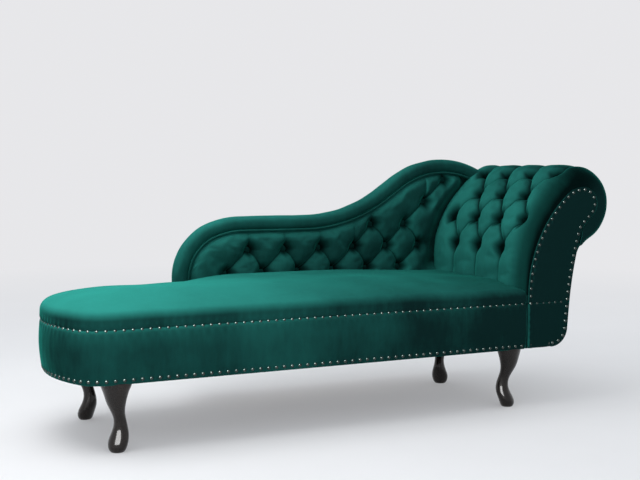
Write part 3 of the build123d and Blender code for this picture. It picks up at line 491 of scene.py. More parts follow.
# Seat base
ARCH_CORNER, ARCH_RISE, HALF_DEPTH = 85.0, 120.0, (REAR - FRONT) / 2
ARCH_CROWN = ((ARCH_CORNER ** 2 - ARCH_RISE ** 2 - (HALF_DEPTH - ARCH_CORNER) ** 2)
              / (2 * (ARCH_CORNER - ARCH_RISE)))
CROWN_TURN = math.degrees(math.asin((HALF_DEPTH - ARCH_CORNER) / (ARCH_CROWN - ARCH_CORNER)))
PLAN = [(JOINT - SPRING, 0), (ARCH_CORNER, CROWN_TURN - 90), (ARCH_CROWN, -2 * CROWN_TURN),
        (ARCH_CORNER, CROWN_TURN - 90), (JOINT - SPRING, 0)]
plan_line, plan_out, plan_s = even(*run((JOINT, FRONT), 180, PLAN), spacing=NAIL_PITCH / 6)
# The point of the seat's middle line that each point of the plan looks to
spine_x = np.clip(plan_line[:, 0], FOOT + HALF_DEPTH, JOINT)
spine = np.stack([spine_x, np.full_like(spine_x, MIDDLE)], 1)


def pucker(s, z, nails, reach):
    """Cloth drawn in at each nail: a cosine along the row, fading away from it as a bell."""
    return np.cos(2 * math.pi * (s / NAIL_PITCH - 0.5)) * np.exp(-((z - nails) / reach) ** 2)


def seat_cushion():
    """Seat cover. From the nail line each profile goes up an almost upright side, round a circular edge and
    over a low dome, a power curve of the distance from the middle line. The dome falls to the edge on the
    free sides, stays full against the backrest and gets lower towards the head."""
    side_out, tucked, rounding, lean = 4.2, 2.0, 26.0, math.radians(72)
    head_reach, crown_drop, edge_drop = 480.0, 16.0, 6.0
    at_back = soft_step(plan_line[:, 0], BACK_LEFT - 140, BACK_LEFT + 180) * (plan_line[:, 1] > MIDDLE)
    reach = np.linalg.norm(plan_line - spine, axis=1)
    at_head = soft_step(spine_x, JOINT - head_reach, JOINT)
    crown = (BAND_TOP + SEAT_RISE - crown_drop * at_head)[:, None]
    free = BAND_TOP + SEAT_SIDE - edge_drop * at_head[:, None]
    edge = (1 - at_back)[:, None] * free + at_back[:, None] * (crown + 1)
    tuck = np.linspace(0, 1, 12)[None, :-1]
    arc = np.linspace(0, lean, 14)[None]
    out_side = (side_out * np.sin(np.clip(tuck * 2.2, 0, 1) * math.pi / 2)
                - tucked * (1 - np.clip(tuck * 5, 0, 1)) ** 2)
    arc_start = edge - rounding * math.sin(lean)
    z_side = HIGH_NAILS + (arc_start - HIGH_NAILS) * tuck
    out_arc = side_out - rounding * (1 - np.cos(arc)) + 0 * edge
    z_arc = arc_start + rounding * np.sin(arc)
    inner = 1 - (rounding * (1 - math.cos(lean)) - side_out) / reach
    share_dome = inner[:, None] * np.linspace(1, 0, 34)[None, 1:] ** 0.9
    z_dome = crown - (crown - edge) * (share_dome / inner[:, None]) ** 2.4
    ones = np.ones((len(plan_s), 1))
    share = np.concatenate([ones * np.ones_like(tuck), ones * np.ones_like(arc), share_dome], 1)
    out = np.concatenate([ones * out_side, out_arc, 0 * share_dome], 1)
    z = np.concatenate([z_side, z_arc, z_dome], 1)
    s = plan_s[:, None]
    out = out - 1.1 * pucker(s, z, HIGH_NAILS + 5, 13)
    xy = spine[:, None] + (plan_line - spine)[:, None] * share[..., None] + plan_out[:, None] * out[..., None]
    z = z - 2.0 * soft_step(1 - share, 0.08, 0.5) * ripple(xy[..., 0], xy[..., 1], 420)
    top = np.concatenate([xy, z[..., None]], 2)
    held = np.maximum(soft_step(1 - share, 0.3, 0.8), 1 - soft_step(z, HIGH_NAILS + 4, HIGH_NAILS + 12))
    held[:4], held[-4:] = 1, 1
    top = swell(top, held, toward=(0, -0.3, 1), grow=0.02, cap=5.0, step=2)
    # The underside goes back to the middle line, and the ends at the arm drop to the same height
    low_spine = np.insert(spine, 2, HIGH_NAILS, axis=1)[:, None]
    under = top[:, :1] + (low_spine - top[:, :1]) * np.linspace(1, 0, 5)[None, :-1, None]
    skin = np.concatenate([under, top], 1)
    dropped = np.where([False, False, True], HIGH_NAILS, skin)
    skin = np.concatenate([dropped[:1], skin, dropped[-1:]])
    made = make_piece("seat_cushion", [skin], "velvet", ["seat_cover", "seat_foam"])
    return made


def seat_band():
    """Border of the base: up the profile it laps under the base, dips at the lower nail row, swells as
    about the square root of a sine between the rows and dips again at the upper row."""
    lap_in, lap_rise, swelling, dimple = 10.0, 5.0, 6.6, 0.9
    lap = np.linspace(0, 1, 5)
    lap_out = -lap_in + 7.4 * np.sin(lap * math.pi / 2)
    lap_z = UNDERSIDE + lap_rise * (1 - np.cos(lap * math.pi / 2)) - 0.5
    t = np.linspace(0, 1, 34)
    body_z = LOW_NAILS + (HIGH_NAILS - LOW_NAILS) * t
    body_out = -0.6 + swelling * np.sin(math.pi * t) ** 0.55 - 2.0 * (1 - t) ** 3
    out = np.concatenate([lap_out, body_out, [-4.0]])[None]
    z = np.concatenate([lap_z, body_z, [HIGH_NAILS + 0.5]])[None]
    s = plan_s[:, None]
    out = out - dimple * pucker(s, z, LOW_NAILS + 3, 9) - dimple * pucker(s, z, HIGH_NAILS - 4, 11)
    middle = np.sin(math.pi * np.clip((z - LOW_NAILS) / (HIGH_NAILS - LOW_NAILS), 0, 1))
    out = out + middle * (0.9 * ripple(s, z, 260) + 0.5 * ripple(s, z * 0.3, 70, 2.0))
    # One upright crease where the front turns into the foot end
    corner = lengths(plan_line)[np.abs(plan_line[:, 0] - SPRING + 30).argmin()]
    out = out - 1.6 * middle * np.exp(-((s - corner) / 5) ** 2)
    xy = plan_line[:, None] + plan_out[:, None] * out[..., None]
    skin = np.concatenate([xy, np.broadcast_to(z, out.shape)[..., None]], 2)
    made = make_piece("seat_band", [skin], "velvet", ["seat_border"], toward=(0, -1, 0))
    return thicken(made, FACING_WALL)


# Buttoning
def drawn_in(a, b, folds):
    """Depth of buttoned cloth: the section of each fold is two quarter ellipses that meet in a cusp, with
    a depth that falls off along the fold; the folds are joined by a mean of the fifth power."""
    total = np.zeros(a.shape)
    for (a0, b0), (a1, b1), near, half_way, far, width, bow in folds:
        da, db = a1 - a0, b1 - b0
        size = math.hypot(da, db)
        along = ((a - a0) * da + (b - b0) * db) / size ** 2
        t = np.clip(along, 0, 1)
        across = ((a - a0) * db - (b - b0) * da) / size - 4 * bow * t * (1 - t)
        gap = np.hypot(across, (along - t) * size)
        line = half_way + (np.where(t < 0.5, near, far) - half_way) * np.abs(1 - 2 * t) ** 2.2
        near_line = np.clip(1 - gap / width, 0, 1)
        total += (line * (1 - np.sqrt(1 - near_line ** 2))) ** 5
    return total ** 0.2


def gathers(a, b, buttons):
    """Small pleats that fan out from each button: a wave round the button that fades with distance."""
    total = np.zeros(a.shape)
    for i, (a0, b0) in enumerate(buttons):
        gap = np.hypot(a - a0, b - b0)
        total += np.cos(9 * np.arctan2(b - b0, a - a0) + 2.1 * i) * gap / 16 * np.exp(-(gap / 17) ** 2)
    return total


def hollows(a, b, buttons, reach_a, reach_b):
    """The steep hollow round each button: a diamond-shaped bell, flat in its middle."""
    total = np.zeros(a.shape)
    for a0, b0 in buttons:
        gap = (np.abs((a - a0) / reach_a) ** 1.3 + np.abs((b - b0) / reach_b) ** 1.3) ** (1 / 1.3)
        total += np.exp(-gap ** 3)
    return total


def button_caps(name, spots, sides, nodes):
    """Covered buttons: a dome of revolution with a puckered rim, set at each spot along its normal."""
    ring, round_about = np.meshgrid(np.linspace(0, 1, 9), np.linspace(0, 2 * math.pi, 25)[:-1], indexing="ij")
    radius = BUTTON_RADIUS * np.sin(ring * math.pi / 2) * (1 + 0.03 * np.cos(8 * round_about) * ring ** 3)
    height = BUTTON_RISE * np.cos(ring * math.pi / 2) ** 0.9 - 2.5 * ring ** 4
    made = []
    for spot, side in zip(np.array(spots, float), np.array(sides, float)):
        side = side / np.linalg.norm(side)
        one = np.cross(side, (0.0, 0.0, 1.0) if abs(side[2]) < 0.9 else (1.0, 0.0, 0.0))
        one /= np.linalg.norm(one)
        two = np.cross(side, one)
        outward = np.cos(round_about)[..., None] * one + np.sin(round_about)[..., None] * two
        made.append(spot + radius[..., None] * outward + height[..., None] * side)
    # The caps get painted shade all over, as in the bottoms of their hollows
    shade = np.full((len(made),) + radius.shape, 0.55)
    caps = make_piece(name, made, "velvet", nodes, toward=np.mean(sides, 0), closed=True, painted_shade=shade)
    return caps


# Head arm
INNER_SCROLL = [(149, 0), (380, -50), (90, -40), (42, -137), (45, 0)]
OUTER_BENDS = [(45, 30), (1100, 12)]
CORNER, CORNER_TURN = 45.0, 85.0
# Edge of the scroll panels and outside cover, both from the nail line, and the apron's share of the rows
NAIL_INSET, ARM_COVER, APRON_SHARE = 10.0, 12.5, 0.25
bend_end = run(SCROLL_FOOT, 90, INNER_SCROLL + OUTER_BENDS)[0][-1]
corner_rise = CORNER * (1 - math.cos(math.radians(CORNER_TURN)))
outer_drop = (bend_end[1] - SCROLL_FOOT[1] - corner_rise) / math.sin(math.radians(CORNER_TURN))
SCROLL = INNER_SCROLL + OUTER_BENDS + [(outer_drop, 0), (CORNER, -CORNER_TURN)]
panel_edge = run(SCROLL_FOOT, 90, SCROLL, offset=NAIL_INSET, spacing=1.0)[0]
nail_line = run(SCROLL_FOOT, 90, SCROLL, spacing=1.0)[0]
head_rows = [HEAD_FIRST + HEAD_ROW * row for row in range(4)]
pad_line, pad_out, pad_s = even(*run(PAD_FOOT, 90, PAD_RUN), spacing=2.5)
arm_middle = (FRONT + ARM_BACK) / 2
head_buttons = [[(s, arm_middle + HEAD_PITCH * (i - (2 + row % 2) / 2)) for i in range(3 + row % 2)]
                for row, s in enumerate(head_rows)]


def head_folds():
    """Folds of the head pad: diagonals between neighbouring rows, pleats down to the seat from the
    lowest row and over the roll from the highest one."""
    folds, bowed, last = [], 7, len(head_buttons) - 1
    seat_end, roll_reach = 30, 230
    for row, line in enumerate(head_buttons):
        for spot in line:
            for other in head_buttons[row + 1] if row < last else []:
                if abs(other[1] - spot[1]) < HEAD_PITCH:
                    bow = bowed if other[1] > spot[1] else -bowed
                    folds.append((spot, other, BUTTON_DEEP, 16, BUTTON_DEEP, 52, bow))
            if row == 0:
                folds.append((spot, (seat_end, spot[1]), BUTTON_DEEP, 14, 12, 50, 0))
            if row == last:
                folds.append((spot, (spot[0] + roll_reach, spot[1]), BUTTON_DEEP, 11, 3, 50, 0))
    return folds


def head_cushion():
    """Head pad: the profile line carried front to back. Each cross-section leaves the scroll panel's
    edge, goes round an elliptic front edge, over the buttoned face and round the rear edge."""
    edge_deep, roll_radius, roll_end = 46.0, PAD_RUN[-2][0], PAD_RUN[-1][0]
    _, where = nearest(pad_line, panel_edge)
    under_roll = np.searchsorted(pad_s, pad_s[-1] - roll_end - roll_radius * math.radians(60))
    where[under_roll:] = np.linspace(where[under_roll], where[-1], len(where) - under_roll)
    way = pad_line - panel_edge[where]
    thick = np.maximum(np.linalg.norm(way, axis=1), 3.0)
    way = way / thick[:, None]
    edge_n = np.minimum(edge_deep, 0.94 * thick)[:, None]
    turn = np.radians(np.linspace(0, 90, 15))[None]
    face = np.linspace(-0.06, 1, 8)[None, :-1]
    face_n = (thick[:, None] - edge_n) * face
    face_y = 0 * face_n + 1.5 * (face < 0)
    bend_n = thick[:, None] - edge_n * (1 - np.sin(turn))
    bend_y = 1 - np.cos(turn) + 0 * bend_n
    across = np.linspace(FRONT + PAD_EDGES[0], ARM_BACK - PAD_EDGES[1], 200)[None, 1:-1]
    flat_n = thick[:, None] + 0 * across
    n = np.concatenate([face_n, bend_n, flat_n, bend_n[:, ::-1], face_n[:, ::-1]], 1)
    y = np.concatenate([FRONT + face_y, FRONT + PAD_EDGES[0] * bend_y, across + 0 * flat_n,
                        ARM_BACK - PAD_EDGES[1] * bend_y[:, ::-1], ARM_BACK - face_y[:, ::-1]], 1)
    s = pad_s[:, None] + 0 * n
    inside = np.minimum(soft_step(y, FRONT + 12, FRONT + 60), soft_step(-y, -ARM_BACK + 14, -ARM_BACK + 62))
    spots = [spot for line in head_buttons for spot in line]
    deep = drawn_in(s, y, head_folds()) * inside
    pit = hollows(s, y, spots, 32, 25) * inside
    full = 4.0 * (1 - np.clip(deep / FOLD_FULL, 0, 1)) + 1.2 * ripple(s, y, 150)
    # The rear edge stands up as a rim, and the end under the roll is stuffed a little more
    rim = np.exp(-((y - ARM_BACK + 30) / 24) ** 2) * soft_step(s, 40, 160) * (1 - soft_step(s, 430, 600))
    end = pad_s[-1] - s
    tail = (1 - soft_step(end, 60, 170)) * soft_step(end, 22, 36)
    n = n - deep - 13 * pit - 0.5 * gathers(s, y, spots) + inside * full + 10 * rim + 5 * tail
    # Painted shade along the front edge, as far up as the roll
    shade = (1 - soft_step(y - FRONT, 12, 66 + 20 * soft_step(s, 100, 450))) * (1 - soft_step(s, 470, 640))
    base = pad_line - way * thick[:, None]
    xz = base[:, None] + way[:, None] * n[..., None]
    skin = np.stack([xz[..., 0], y, xz[..., 1]], 2)
    held = np.maximum(soft_step(deep, 6, 13), 1 - inside)
    held[:3], held[-12:] = 1, 1
    toward = (-0.5, 0, 0.5)
    skin = swell(skin, held, toward, grow=0.03, cap=6.0, step=3)
    # Painted shade in the folds and the button hollows, and along the front edge
    painted_shade = np.maximum(soft_step(deep, FOLD_SHADE_START, FOLD_SHADE_FULL), np.clip(1.3 * pit, 0, 1))
    made = make_piece("head_cushion", [skin], "velvet", ["head_pad"], toward=toward,
                      painted_shade=np.maximum(painted_shade, 0.75 * shade))
    return made


def head_button_caps():
    """Head buttons, set in the bottoms of their hollows."""
    spots, sides = [], []
    for line in head_buttons:
        for s, y in line:
            x, z, nx, nz = (np.interp(s, pad_s, column) for column in (*pad_line.T, *pad_out.T))
            spots.append((x - nx * BUTTON_SEAT, y, z - nz * BUTTON_SEAT))
            sides.append((nx, 0, nz))
    return button_caps("head_button_caps", spots, sides, ["head_buttons"])


def scroll_rows(count, low, high):
    """Rows across the scroll: its inner and outer edges walked together from the bottom to the far
    side of the eye, matched at the apron's top; low and high are shares of the way."""
    eye_x = panel_edge[:, 0].argmax()
    inner, outer = panel_edge[:eye_x + 1], panel_edge[eye_x:][::-1]
    inner = np.concatenate([[[inner[0, 0], UNDERSIDE]], inner])
    share = np.linspace(low, high, count)
    sides = []
    for edge in (inner, outer):
        walked = lengths(edge)
        apron_top = walked[np.abs(edge[:len(edge) // 2, 1] - HIGH_NAILS).argmin()]
        at = np.interp(share, [0, APRON_SHARE, 1], [0, apron_top, walked[-1]])
        sides.append(np.stack([np.interp(at, walked, column) for column in edge.T], 1))
    return sides


def scroll_cover(name, low, high, y, way, nodes):
    """Padded facing of the scroll: straight rows between its two edges, raised by soft steps of the
    distance to the edge, with a bell-shaped dip along the nail line, another along the apron's top on the
    front, and a roll along the apron's inner edge."""
    apron_only = high == APRON_SHARE
    inner, outer = scroll_rows(56 if apron_only else 150, low, high)
    share = np.linspace(0, 1, 44)
    share = (0.5 - 0.5 * np.cos(share * math.pi)) * 0.6 + share * 0.4
    xz = inner[:, None] * (1 - share)[None, :, None] + outer[:, None] * share[None, :, None]
    gap, _ = nearest(xz, panel_edge)
    on_nails, where = nearest(xz, nail_line)
    s = lengths(nail_line)[where]
    lift = -2.2 + 3.4 * soft_step(gap, 0, 5) + 3.0 * soft_step(gap, 10, 42)
    lift = (lift - 1.5 * np.exp(-(on_nails / 4.5) ** 2)
            - 0.7 * np.cos(2 * math.pi * s / NAIL_PITCH) * np.exp(-(on_nails / 8) ** 2))
    lift = lift + soft_step(gap, 8, 40) * 0.8 * ripple(xz[..., 0], xz[..., 1], 170, 1.0)
    if way < 0:
        lift = lift - 2.4 * np.exp(-((xz[..., 1] - HIGH_NAILS) / 5.0) ** 2)
    if apron_only:
        lift = lift + 3.5 * np.exp(-((xz[..., 0] - panel_edge[0, 0] - 9) / 6) ** 2)
    skin = np.stack([xz[..., 0], y + way * lift, xz[..., 1]], 2)
    made = make_piece(name, [skin], "velvet", nodes, toward=(0, way, 0))
    return thicken(made, FACING_WALL)


def arm_outside():
    """Outside of the arm: the outer line of the scroll carried front to back, swelling a little as a product
    of sines between its rounded edges."""
    rounding = 6.0
    start = run(SCROLL_FOOT, 90, INNER_SCROLL)[0][-1]
    heading = 90 + sum(bend for _, bend in INNER_SCROLL)
    line, out, s = even(*run(start, heading, SCROLL[len(INNER_SCROLL):], offset=ARM_COVER), spacing=5)
    edge = np.linspace(0, rounding, 6)
    across = np.concatenate([FRONT + edge[:-1], np.linspace(FRONT + rounding, ARM_BACK - rounding, 90),
                             ARM_BACK - rounding + edge[1:]])
    end_gap = np.clip(np.minimum(across - FRONT, ARM_BACK - across), 0, rounding)
    drop = rounding - np.sqrt(np.clip(rounding ** 2 - (rounding - end_gap) ** 2, 0, rounding ** 2))
    body = np.sin(math.pi * np.clip(s / s[-1], 0, 1))[:, None]
    body = body * np.sin(math.pi * (across - FRONT) / (ARM_BACK - FRONT))
    n = -drop[None] + body * (1.5 + 1.2 * ripple(s[:, None], across[None], 240, 0.6))
    xz = line[:, None] + out[:, None] * n[..., None]
    skin = np.stack([xz[..., 0], np.broadcast_to(across, n.shape), xz[..., 1]], 2)
    made = make_piece("head_outside", [skin], "velvet", ["head_outer_cover"], toward=(1, 0, 0))
    return thicken(made, COVER_WALL)


def arm_lining():
    """Strip of velvet between base and arm below the pad: half an ellipse in plan at the front, the same at
    the rear, and straight between them."""
    middle_x, half_wide, inset, bulge = 524.8, 8.0, 9.0, 10.0
    z = np.linspace(UNDERSIDE, PAD_FOOT[1], 40)[:, None]
    turn = np.radians(np.linspace(-90, 90, 17))[None]
    x = middle_x + half_wide * np.sin(turn) + 0 * z
    y = FRONT + inset - bulge * np.cos(turn) + 0.4 * np.sin(z / 9)
    front_roll = np.stack([x, y + 0 * x, z + 0 * x], 2)
    rear_roll = front_roll.copy()
    rear_roll[..., 1] = FRONT + ARM_BACK - rear_roll[..., 1]
    skin = np.concatenate([front_roll, rear_roll[:, ::-1]], 1)
    made = make_piece("head_lining_strip", [skin], "velvet", ["head_lining"], closed=True)
    return made


# Backrest
SIDE_RUN = [(UNDERSIDE + BACK_SIDE - RAIL_TOP, 0)] + BACK_TOP
ROLL_FOOT = (BACK_LEFT, RAIL_TOP)
back_buttons = [[(BACK_LEFT + BACK_COLUMN + BACK_PITCH * (column + i), BACK_FIRST + BACK_ROW * row)
                 for i in range(count)] for row, (column, count) in enumerate(BACK_ROWS)]


def arm_surface(z):
    """X of the head pad's inner face at a height."""
    inner = slice(0, int(pad_line[:, 1].argmax()))
    return np.interp(z, pad_line[inner, 1], pad_line[inner, 0])


def back_folds(top_x, top_z):
    """Folds of the backrest: diagonals to the row above, upright pleats where a diagonal is missing and the
    border is near, and pleats down to the seat."""
    folds, bowed = [], 4
    for row, line in enumerate(back_buttons):
        above = back_buttons[row + 1] if row + 1 < len(back_buttons) else []
        for spot in line:
            linked = [other for other in above if abs(other[0] - spot[0]) < BACK_PITCH]
            for other in linked:
                bow = -bowed if other[0] > spot[0] else bowed
                folds.append((spot, other, BUTTON_DEEP, 14, BUTTON_DEEP, 48, bow))
            edge = np.interp(spot[0], top_x, top_z)
            if len(linked) < 2 and row and edge - spot[1] < PLEAT_REACH:
                folds.append((spot, (spot[0], max(edge, spot[1] + 20)), BUTTON_DEEP, 10, 5, 46, 0))
            if row == 0:
                folds.append((spot, (spot[0], PAD_LOW), BUTTON_DEEP, 14, 10, 46, 0))
    return folds


def back_cushion():
    """Backrest pad: upright columns from below the seat to the piping; the face is drawn in by the
    folds, sinks back in the corner beside the arm as a soft step, and turns back towards the piping as
    the square of the nearness to the edge."""
    full_swell, corner_deep, edge_deep, edge_wide = 6.0, 44.0, 36.0, 33.0
    line, _ = run(ROLL_FOOT, 90, SIDE_RUN, offset=-PAD_INSET, spacing=1.0)
    top = line[lengths(line) >= SIDE_RUN[0][0]]
    columns = np.linspace(top[0, 0], PAD_END, 414)
    high = np.interp(columns, top[:, 0], top[:, 1])
    share = np.linspace(0, 1, 124)[None]
    z = PAD_LOW + (high[:, None] - PAD_LOW) * share
    x = columns[:, None] + 0 * z
    # What would stand inside the head pad is pushed back to its surface
    over = np.clip(arm_surface(z) + 16 + 34 * soft_step(z, 540, 640) - x, None, 0)
    gap, _ = nearest(np.stack([x, z], 2), line)
    deep = drawn_in(x, z, back_folds(top[:, 0], top[:, 1]))
    spots = [spot for row in back_buttons for spot in row]
    pit = hollows(x, z, spots, 25, 25)
    full = full_swell * (1 - np.clip(deep / FOLD_FULL, 0, 1)) * soft_step(gap, 13, 43)
    y = BACK_FACE + deep + 12 * pit + 0.4 * gathers(x, z, spots) - full
    y = y + corner_deep * soft_step(x - arm_surface(z), -80, 4) * soft_step(z, 366, 402)
    y = y + edge_deep * np.clip(1 - gap / edge_wide, 0, 1) ** 2 + 1.0 * ripple(x, z, 140, 0.4)
    skin = np.stack([x + over, np.minimum(y, BACK_BOARD - 1), z], 2)
    held = np.maximum(soft_step(deep, 5, 12), 1 - soft_step(gap, 10, 26))
    held = np.maximum(held, soft_step(-over, 0, 20))
    held[:, :3] = 1
    skin = swell(skin, held, toward=(0, -1, 0), grow=0.03, cap=6.0, step=3)
    # Painted shade in the folds and the button hollows
    made = make_piece("back_cushion", [skin], "velvet", ["back_pad"], toward=(0, -1, 0),
                      painted_shade=np.maximum(soft_step(deep, FOLD_SHADE_START, FOLD_SHADE_FULL), pit))
    return made


def back_button_caps():
    """Backrest buttons, set in the bottoms of their hollows."""
    spots = [(x, BACK_FACE + BUTTON_SEAT, z) for line in back_buttons for x, z in line]
    return button_caps("back_button_caps", spots, [(0, -1, 0)] * len(spots), ["back_buttons"])


def border_roll():
    """Border roll along the top edge: straight sides and a superelliptic front, carried along the
    outline, with the ends of the stuffing a little uneven."""
    middle_y, rear_y, half = BACK_FACE + 27, BACK_BOARD + 1, BORDER_WIDE / 2 + 1.5
    line, out, s = even(*run(ROLL_FOOT, 90, SIDE_RUN), spacing=4)
    turn = np.radians(np.linspace(-80, 180, 40))
    n = -BORDER_WIDE / 2 + half * np.sign(np.cos(turn)) * np.abs(np.cos(turn)) ** (2 / 2.5)
    deep = np.where(turn > 0, 29, 26)
    y = middle_y - deep * np.sign(np.sin(turn)) * np.abs(np.sin(turn)) ** (2 / 2.3)
    sides = np.linspace(BACK_FACE + 31, rear_y, 6)
    n = np.concatenate([[-BORDER_WIDE], n, np.full(6, n[-1] + 1), [-BORDER_WIDE / 2, -BORDER_WIDE]])[None]
    y = np.concatenate([[rear_y], y, sides, [rear_y] * 2])[None]
    front = soft_step(-y, -middle_y, -BACK_FACE)
    wave = ripple(s[:, None], y, 120, 0.8)
    n = n + 0.8 * wave * (1 - front)
    y = y + 1.2 * front * wave + 0 * n
    xz = line[:, None] + out[:, None] * n[..., None]
    skin = np.stack([xz[..., 0], y, xz[..., 1]], 2)
    caps = [np.broadcast_to(skin[k].mean(0), skin[k].shape)[None] for k in (0, -1)]
    skin = np.concatenate([caps[0], skin, caps[1]])
    made = make_piece("back_border", [skin], "velvet", ["back_border_roll"])
    return made


def piping():
    """Piping inside the border: a round cord cover carried along the outline."""
    line, out, s = even(*run(ROLL_FOOT, 90, SIDE_RUN, offset=-PIPING_INSET), spacing=4)
    turn = np.linspace(0, 2 * math.pi, 13)[None, :-1]
    radius = PIPING_RADIUS + 0.12 * np.sin(s[:, None] * 0.9)
    xz = line[:, None] + out[:, None] * (radius * np.cos(turn))[..., None]
    y = BACK_FACE + 6.5 + radius * np.sin(turn)
    skin = np.stack([xz[..., 0], y, xz[..., 1]], 2)
    return make_piece("back_piping_cord", [skin], "velvet", ["back_piping"], closed=True,
                      toward=(0, 0, 1))


def back_outside():
    """Outside of the backrest: a band over the top edge, rounded into a flat back that swells a
    little away from its edge."""
    rounding, swelling, lap = 8.0, 2.0, 14.0
    # Band over the top edge
    steps = [(BACK_SIDE, 0)] + BACK_TOP + [(42, -60)]
    line, out, s = even(*run((BACK_LEFT, UNDERSIDE), 90, steps, offset=-COVER_INSET), spacing=4)
    turn = np.radians(np.linspace(0, 90, 8))
    n = np.concatenate([[0, 0, 0], -rounding + rounding * np.cos(turn), [-lap]])[None]
    y = np.concatenate([np.linspace(BACK_BOARD, BACK_OUTSIDE - 10, 3),
                        BACK_OUTSIDE - rounding + rounding * np.sin(turn), [BACK_OUTSIDE]])
    y = y[None] + 0 * s[:, None]
    xz = line[:, None] + out[:, None] * n[..., None]
    band = np.stack([xz[..., 0], y, xz[..., 1]], 2)
    # Flat back in upright columns
    top = line[BACK_SIDE <= s]
    columns = np.linspace(line[0, 0] + 0.5, line[-1, 0] - 0.5, 240)
    high = np.interp(columns, top[:, 0], top[:, 1])[:, None] - 1
    z = UNDERSIDE + (high - UNDERSIDE) * np.linspace(0, 1, 90)[None]
    x = columns[:, None] + 0 * z
    end_line = np.stack([np.full(60, line[-1, 0]), np.linspace(line[-1, 1], UNDERSIDE, 60)], 1)
    gap, _ = nearest(np.stack([x, z], 2), np.concatenate([line, end_line]))
    short = rounding - np.clip(gap, 0, rounding)
    flat_y = BACK_OUTSIDE - rounding + np.sqrt(np.clip(rounding ** 2 - short ** 2, 0, rounding ** 2))
    flat_y = flat_y + swelling * soft_step(gap, rounding, 120) * (1 + 0.6 * ripple(x, z, 330, 0.2))
    panel = np.stack([x, flat_y, z], 2)
    # End behind the arm, and the strip of its front that the arm leaves open
    end_z = np.linspace(UNDERSIDE, line[-1, 1], 30)[:, None]
    end_y = np.linspace(BACK_BOARD, BACK_OUTSIDE - 7, 8)[None]
    end = np.stack([line[-1, 0] + 0 * (end_z + end_y), end_y + 0 * end_z, end_z + 0 * end_y], 2)
    lining_x = np.linspace(JOINT + 25, line[-1, 0], 16)[:, None]
    lining = np.stack([lining_x + 0 * end_z.T, BACK_BOARD - 1 + 0 * (lining_x + end_z.T),
                       0 * lining_x + end_z.T], 2)
    made = make_piece("back_outside", [band, panel, end[:, ::-1], lining[:, ::-1]], "velvet",
                      ["back_outer_cover"], toward=(0, 1, 0))
    return thicken(made, COVER_WALL)


def rail_wrap():
    """Velvet round the end of the backrest's lower rail: a strip that goes round three of its sides, with
    rounded corners, and swells a little as a sine of the height."""
    stand_off, front, bend, rear = 1, 82, 2, 15
    tall = RAIL_TOP + 2 - UNDERSIDE
    low, high = (1000 * np.array(corner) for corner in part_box("back_lower_rail"))
    steps = [(front, 0), (bend, -90), (high[1] - low[1] - 2.2, 0), (bend, -90), (rear, 0)]
    start = (low[0] + (front + stand_off), low[1] - stand_off)
    line, out, s = even(*run(start, 180, steps, spacing=0.3), spacing=0.8)
    share = np.linspace(0, 1, 30)[None]
    z = UNDERSIDE + tall * share + 0 * s[:, None]
    n = 0.5 * np.sin(math.pi * share) + 0.2 * ripple(s[:, None], z, 60)
    xy = line[:, None] + out[:, None] * n[..., None]
    skin = np.concatenate([xy, z[..., None]], 2)
    made = make_piece("back_rail_wrap", [skin], "velvet", toward=(-1, 0, 0))
    return made


# Undersides
def seat_dust_cloth():
    """Dust cloth under the seat: the plan filled from its edge to the middle line, sagging as the square of
    a sine."""
    inset, sag = 4.0, 3.0
    share = np.linspace(0, 1, 40)[None, :, None]
    edge = plan_line - inset * plan_out
    xy = edge[:, None] * (1 - share) + spine[:, None] * share
    z = UNDERSIDE - DUST_GAP - sag * np.sin(share[..., 0] * math.pi / 2) ** 2
    z = z + 0.4 * ripple(xy[..., 0], xy[..., 1], 160)
    skin = np.concatenate([xy, z[..., None]], 2)[::2]
    made = make_piece("seat_dust_cloth", [skin], "dust_cloth", ["seat_dust_cover"],
                      toward=(0, 0, -1))
    return made


def flat_dust_cloth(name, x0, x1, y0, y1, nodes):
    """A small dust cloth: a rectangle that sags as a product of sines."""
    u, v = np.meshgrid(np.linspace(0, 1, 40), np.linspace(0, 1, 30), indexing="ij")
    x, y = x0 + (x1 - x0) * u, y0 + (y1 - y0) * v
    z = UNDERSIDE - DUST_GAP - 2.0 * np.sin(math.pi * u) * np.sin(math.pi * v)
    made = make_piece(name, [np.stack([x, y, z], 2)], "dust_cloth", nodes, toward=(0, 0, -1))
    return made


# Building
seat_cushion()
seat_band()
head_cushion()
head_button_caps()
scroll_cover("head_front_cover", APRON_SHARE, 1.0, FRONT, -1, ["head_front_facing"])
scroll_cover("head_apron_cover", 0.0, APRON_SHARE, FRONT, -1, ["head_apron"])
scroll_cover("head_rear_cover", 0.0, 1.0, ARM_BACK, 1, ["head_rear_facing"])
arm_outside()
arm_lining()
back_cushion()
back_button_caps()
border_roll()
piping()
back_outside()
rail_wrap()
seat_dust_cloth()
arm_low, arm_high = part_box("head_dust_cover")
flat_dust_cloth("head_dust_cloth", arm_low.x * 1000, arm_high.x * 1000, FRONT + 2, ARM_BACK - 2,
                ["head_dust_cover"])
rest_low, rest_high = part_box("back_dust_cover")
flat_dust_cloth("back_dust_cloth", rest_low.x * 1000, rest_high.x * 1000, BACK_BOARD, BACK_OUTSIDE - 1,
                ["back_dust_cover"])


# Floor, light and camera
BACKDROP = (0.80, 0.80, 0.82, 1)
# Name, place and aim in metres, size in metres and power in watts
LAMPS = [("key_softbox", (-1.0, -0.15, 1.55), (-0.65, -0.05, 0.35), (1.1, 0.9), 12.5),
         ("top_softbox", (0.2, 0.2, 2.9), (0.0, 0.1, 0.3), (2.2, 1.6), 6),
         ("front_softbox", (-1.3, -2.3, 1.1), (-0.5, -0.2, 0.3), (0.6, 0.6), 4),
         ("window", (-2.0, -1.9, 1.9), (-0.65, -0.3, 0.15), (2.4, 2.4), 330)]


